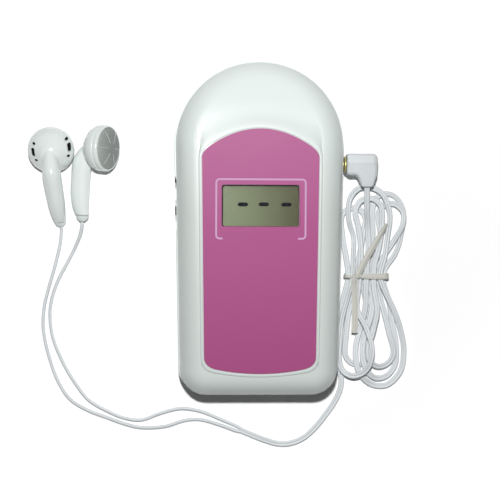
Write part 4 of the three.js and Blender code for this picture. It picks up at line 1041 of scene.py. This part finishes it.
def add_print():
    """Frame line round the display: it turns both lower corners and stops there."""
    left, right, top, low, radius, steps = -15.42, 15.62, 17.02, -3.52, 1.2, 8
    high = FACE_Z + LABEL_RISE
    spots = [(-13.2, low), (left + radius, low)]
    for x, y, start in (
        (left + radius, low + radius, 270), (left + radius, top - radius, 180),
        (right - radius, top - radius, 90), (right - radius, low + radius, 0),
    ):
        for i in range(1, steps + 1):
            angle = radians(start - 90 * i / steps)
            spots.append(around(radius, angle, x, y))
    spots.append((13, low))
    section = [(-0.31, -0.02), (0.31, -0.02), (0.31, 0.03), (-0.31, 0.03)]
    obj = build("display_frame_line", *loft(sweep([Vector((*p, high)) for p in spots], section)), PRINT)
    finish(obj, "monitor", "label_pink")


def add_dashes():
    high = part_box("lcd_panel")[1][2] / MM
    outline = [(-1.95, 0), (-1.3, -0.68), (1.3, -0.68), (1.95, 0), (1.3, 0.68), (-1.3, 0.68)]
    for k, (x, y) in enumerate(((-6.1, 8.35), (1.2, 8.4), (9.1, 8.35)), 1):
        rings = [[(x + a, y + b, high + z) for a, b in outline] for z in (-0.05, 0.05)]
        finish(build(f"display_dash_{k}", *loft(rings), SEGMENT), "monitor", "display_grey")


def add_window_shadow():
    """Painted shadow of the window's edge on the display, wider on the left and top, where the shadow falls.
    """
    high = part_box("lcd_panel")[1][2] / MM
    rings = []
    for grow, shift, z in ((0.25, 0, -0.03), (0.25, 0, 0.06), (-0.3, 0.18, 0.06), (-0.3, 0.18, -0.03)):
        rings.append([(x + shift, y - shift, high + z) for x, y in window_outline(grow)])
    obj = build("display_painted_shadow", *loft(rings, round_trip=True), WINDOW_SHADOW_PAINT)
    finish(obj, "monitor", "display_grey")


REAR_STEPS = 10
REAR_BEVEL = 0.18
# Radii of the rear shell's posts, collar and holes
POST = 4
HEAD_HOLE = 2.6
SCREW_HOLE = 1.4
PROBE_COLLAR = 15.8
PROBE_HOLE = 14.15
NOSE_HOLE = 3.1
# Spans in X, Y and Z of its openings, and of the door in them
OPENING = ((-15.4, 15.4), (-61, -9), (-1, 2.5))
REBATE = ((-18, 18), (-61, -6.5), (-1, 1.4))
WHEEL_SLOT = ((-32, -26), (1.7, 14.3), (6.1, 9.7))
DOOR_SKIN = ((-17.7, 17.7), (-61, -6.8), (-1, 1.1))
DOOR_PAD = ((-15.1, 15.1), (-61, -9.3), (0, 1.9))
SCOOP = [
    (-32, -4.6), (-30.6, -3.2), (-30.05, -2.2), (-29.62, -0.9), (-29.5, 0.2), (-29.5, 16.3),
    (-29.62, 17.4), (-30.05, 18.7), (-30.6, 19.7), (-32, 21.1),
]
SCOOP_Z = (4.6, 15)


def rear_rings():
    """Rings of the rear shell, round from its flat back up to the seam."""
    rings = []
    for i in range(REAR_STEPS + 1):
        angle = pi / 2 * i / REAR_STEPS
        rings.append(case_ring(REAR_RUN * (1 - sin(angle)), REAR_RISE * (1 - cos(angle))))
    return rings + [case_ring(0, REAR_TOP - REAR_BEVEL), case_ring(REAR_BEVEL, REAR_TOP)]


def add_rear():
    """Hollow shell with screw posts, the probe's collar, the battery opening, the wheel's slot and scoop."""
    inside = [case_ring(2, REAR_TOP), case_ring(2, 4), case_ring(4, 2)]
    shell = build("look_rear_shell", *loft(rear_rings() + inside), SHELL_PAINTED_LIGHT)
    for *spot, _ in SCREWS:
        combine(shell, disc("post", POST, spot, (1, 8)), "UNION")
        cut(shell, disc("head", HEAD_HOLE, spot, (-1, 2.9)), disc("bore", SCREW_HOLE, spot, (2, 9)))
    combine(shell, disc("collar", PROBE_COLLAR, PROBE_SPOT, (1, 8), sides=96), "UNION")
    nose = disc("nose", NOSE_HOLE, (0, 0), (27, 32))
    moved(nose, Matrix.Translation((0, PLUG_Y, PLUG_Z)) @ ALONG_X)
    cut(
        shell,
        disc("probe", PROBE_HOLE, PROBE_SPOT, (-1, 9), sides=96), nose,
        box("opening", *OPENING), box("rebate", *REBATE), box("slot", *WHEEL_SLOT),
        build("scoop", *loft([[(*spot, z) for spot in SCOOP] for z in SCOOP_Z]), SHELL_PAINTED_LIGHT),
    )
    soften(shell, 0.14, 50)
    level(shade(shell, 38))
    finish(shell, "monitor", "case_white", "rear_shell")


def add_door():
    """Battery door: a skin with a pad on its inside, and five grooves to push it by."""
    door = build("look_battery_door", *loft(rear_rings()), SHELL_PAINTED_LIGHT)
    stepped = box("skin", *DOOR_SKIN)
    combine(stepped, box("pad", *DOOR_PAD), "UNION")
    combine(door, stepped, "INTERSECT")
    for k in range(5):
        y = -13 - 1.6 * k
        cut(door, box("groove", (-7, 7), (y - 0.7, y), (-1, 0.4)))
    soften(door, 0.12, 50)
    level(shade(door, 38))
    finish(door, "battery_cover", "case_white", "battery_door")


# Half profiles about Z, as (radius, height)
LENS = [
    (0, 0.02), (11.2, 0), (11.35, 0.18), (11.65, 0.18), (11.8, 0), (13.55, 0.02), (13.8, 0.2),
    (13.85, 0.5), (13.85, 1.8), (0, 1.8),
]
SCREW = [(0, 0.8), (1.7, 0.85), (2.15, 1.15), (2.3, 1.6), (2.3, 2.6), (1.1, 2.6), (1.1, 19), (0, 20)]


def add_probe_window():
    """Round window with a shallow ring groove."""
    obj = build("look_probe_lens", *lathe(LENS, 128), PROBE)
    moved(obj, Matrix.Translation((*PROBE_SPOT, 0)))
    finish(obj, "monitor", "probe_grey", "probe_lens")


def add_screws():
    """Four screws with a cross in the head."""
    screw = build("screw", *lathe(SCREW, 40), STEEL)
    arm, half = (-1.5, 1.5), (-0.28, 0.28)
    cut(screw, box("cross_a", arm, half, (0, 1.7)), box("cross_b", half, arm, (0, 1.7)))
    for k, (x, y, turn) in enumerate(SCREWS, 1):
        obj = show(f"look_case_screw_{k}", screw.data.copy())
        moved(obj, Matrix.Translation((x, y, 0)) @ spin(turn, "Z"))
        finish(shade(obj, 35), "monitor", "steel", f"case_screw_{k}")
    bpy.data.objects.remove(screw)


def add_wheel():
    """Thumbwheel with fine teeth round its edge."""
    teeth, deep, outer, bore, low, high = 32, 0.32, 9, 1.8, 6.4, 9.4
    angles = turns(teeth * 6)
    rings = []
    for draw, z in ((0.4, low), (0.05, 6.62), (0, 6.8), (0, 9), (0.05, 9.18), (0.4, high)):
        ring = []
        for angle in angles:
            radius = outer - draw - deep * (0.5 - 0.5 * cos(teeth * angle)) ** 1.6
            ring.append((*around(radius, angle), z))
        rings.append(ring)
    rings += [[(*around(bore, angle), z) for angle in angles] for z in (high, low)]
    obj = build("look_volume_wheel", *loft(rings, round_trip=True), SHELL_PAINTED_LIGHT)
    moved(obj, Matrix.Translation(WHEEL_SPOT))
    finish(obj, "volume_knob", "case_white", "volume_wheel")


def add_painted_scoop_shadows():
    """Two dark spots at the scoop, under the seam, as painted shadow: beside the wheel and at the scoop's
    upper end.
    """
    inner, low, high = -29.4, 13.35, 13.8
    for k, (outer, *along) in enumerate(((-29.95, 4.6, 7.7), (-30.08, 16.2, 18.7)), 1):
        obj = box(f"painted_scoop_shadow_{k}", (outer, inner), along, (low, high), VENT_AND_PAINTED_SHADE)
        finish(obj, "monitor", "black_plastic")


add_front()
add_label()
add_print()
add_dashes()
add_window_shadow()
add_rear()
add_door()
add_probe_window()
add_screws()
add_wheel()
add_painted_scoop_shadows()


# Floor and light
LAMP = Vector((-22, 62, 400))
LAMP_SIZE = 8
LAMP_POWER = 39.3
AMBIENT = 0.035
MIRRORED = 0.3
FLOOR_HALF = 3000
GLOW_FROM = 60
GLOW_TO = 150


def add_floor():
    """White floor. Away from the object, a glow makes up for light that reaches it at a slant."""
    made = bpy.data.materials.new("floor")
    made.use_nodes = True
    tree = made.node_tree
    shader = tree.nodes["Principled BSDF"]
    set_inputs(shader, Base_Color=(0.97, 0.97, 0.97, 1), Roughness=0.9, Specular_IOR_Level=0.1)
    place = add_node(tree, "NewGeometry")
    reach = add_node(tree, "VectorMath", "LENGTH")
    edge = add_node(tree, "MapRange", From_Min=GLOW_FROM * MM, From_Max=GLOW_TO * MM, To_Max=0.1)
    upward = add_node(tree, "VectorMath", "SUBTRACT")
    upward.inputs[0].default_value = LAMP * MM
    slant = add_node(tree, "VectorMath", "NORMALIZE")
    height = add_node(tree, "SeparateXYZ")
    missing = add_node(tree, "MapRange", From_Min=0.95, From_Max=0, To_Max=1.1)
    gain = add_node(tree, "Math", "ADD")
    paths = add_node(tree, "LightPath")
    seen = add_node(tree, "Math", "MAXIMUM")
    lift = add_node(tree, "Math", "MULTIPLY")
    glow = add_node(tree, "Emission")
    total = add_node(tree, "AddShader")
    wire(
        tree, (place, "Position", reach, 0), (reach, "Value", edge, "Value"),
        (place, "Position", upward, 1), (upward, "Vector", slant, 0), (slant, "Vector", height, "Vector"),
        (height, "Z", missing, "Value"), (edge, "Result", gain, 0), (missing, "Result", gain, 1),
        (paths, "Is Camera Ray", seen, 0), (paths, "Is Transmission Ray", seen, 1),
        (seen, "Value", lift, 0), (gain, "Value", lift, 1), (lift, "Value", glow, "Strength"),
        (shader, "BSDF", total, 0), (glow, "Emission", total, 1),
        (total, "Shader", tree.nodes["Material Output"], "Surface"),
    )
    corners = [(FLOOR_HALF * x, FLOOR_HALF * y, 0) for x, y in ((-1, -1), (1, -1), (1, 1), (-1, 1))]
    obj = build("floor", corners, [(0, 1, 2, 3)], made)
    obj.location.z = -0.1 * MM


def add_light():
    """Lamp whose strength doesn't fall off on the way, so that the floor is white to the corners."""
    data = bpy.data.lights.new("key", "POINT")
    data.energy = LAMP_POWER
    data.shadow_soft_size = LAMP_SIZE * MM
    data.use_nodes = True
    steady = add_node(data.node_tree, "LightFalloff", Strength=1)
    wire(data.node_tree, (steady, "Constant", data.node_tree.nodes["Emission"], "Strength"))
    show("key", data).location = LAMP * MM


def add_world():
    """White to the camera, dim to the object, and in between in mirrored light."""
    world = bpy.data.worlds.new("world")
    bpy.context.scene.world = world
    world.use_nodes = True
    tree = world.node_tree
    back = tree.nodes["Background"]
    set_inputs(back, Color=(1, 1, 1, 1))
    paths = add_node(tree, "LightPath")
    mirrored = add_node(tree, "MapRange", To_Min=AMBIENT, To_Max=MIRRORED)
    seen = add_node(tree, "Math", "MAXIMUM")
    wire(
        tree, (paths, "Is Glossy Ray", mirrored, "Value"), (mirrored, "Result", seen, 0),
        (paths, "Is Camera Ray", seen, 1), (seen, "Value", back, "Strength"),
    )


add_floor()
add_world()
add_light()
bpy.context.scene.view_settings.view_transform = "Standard"
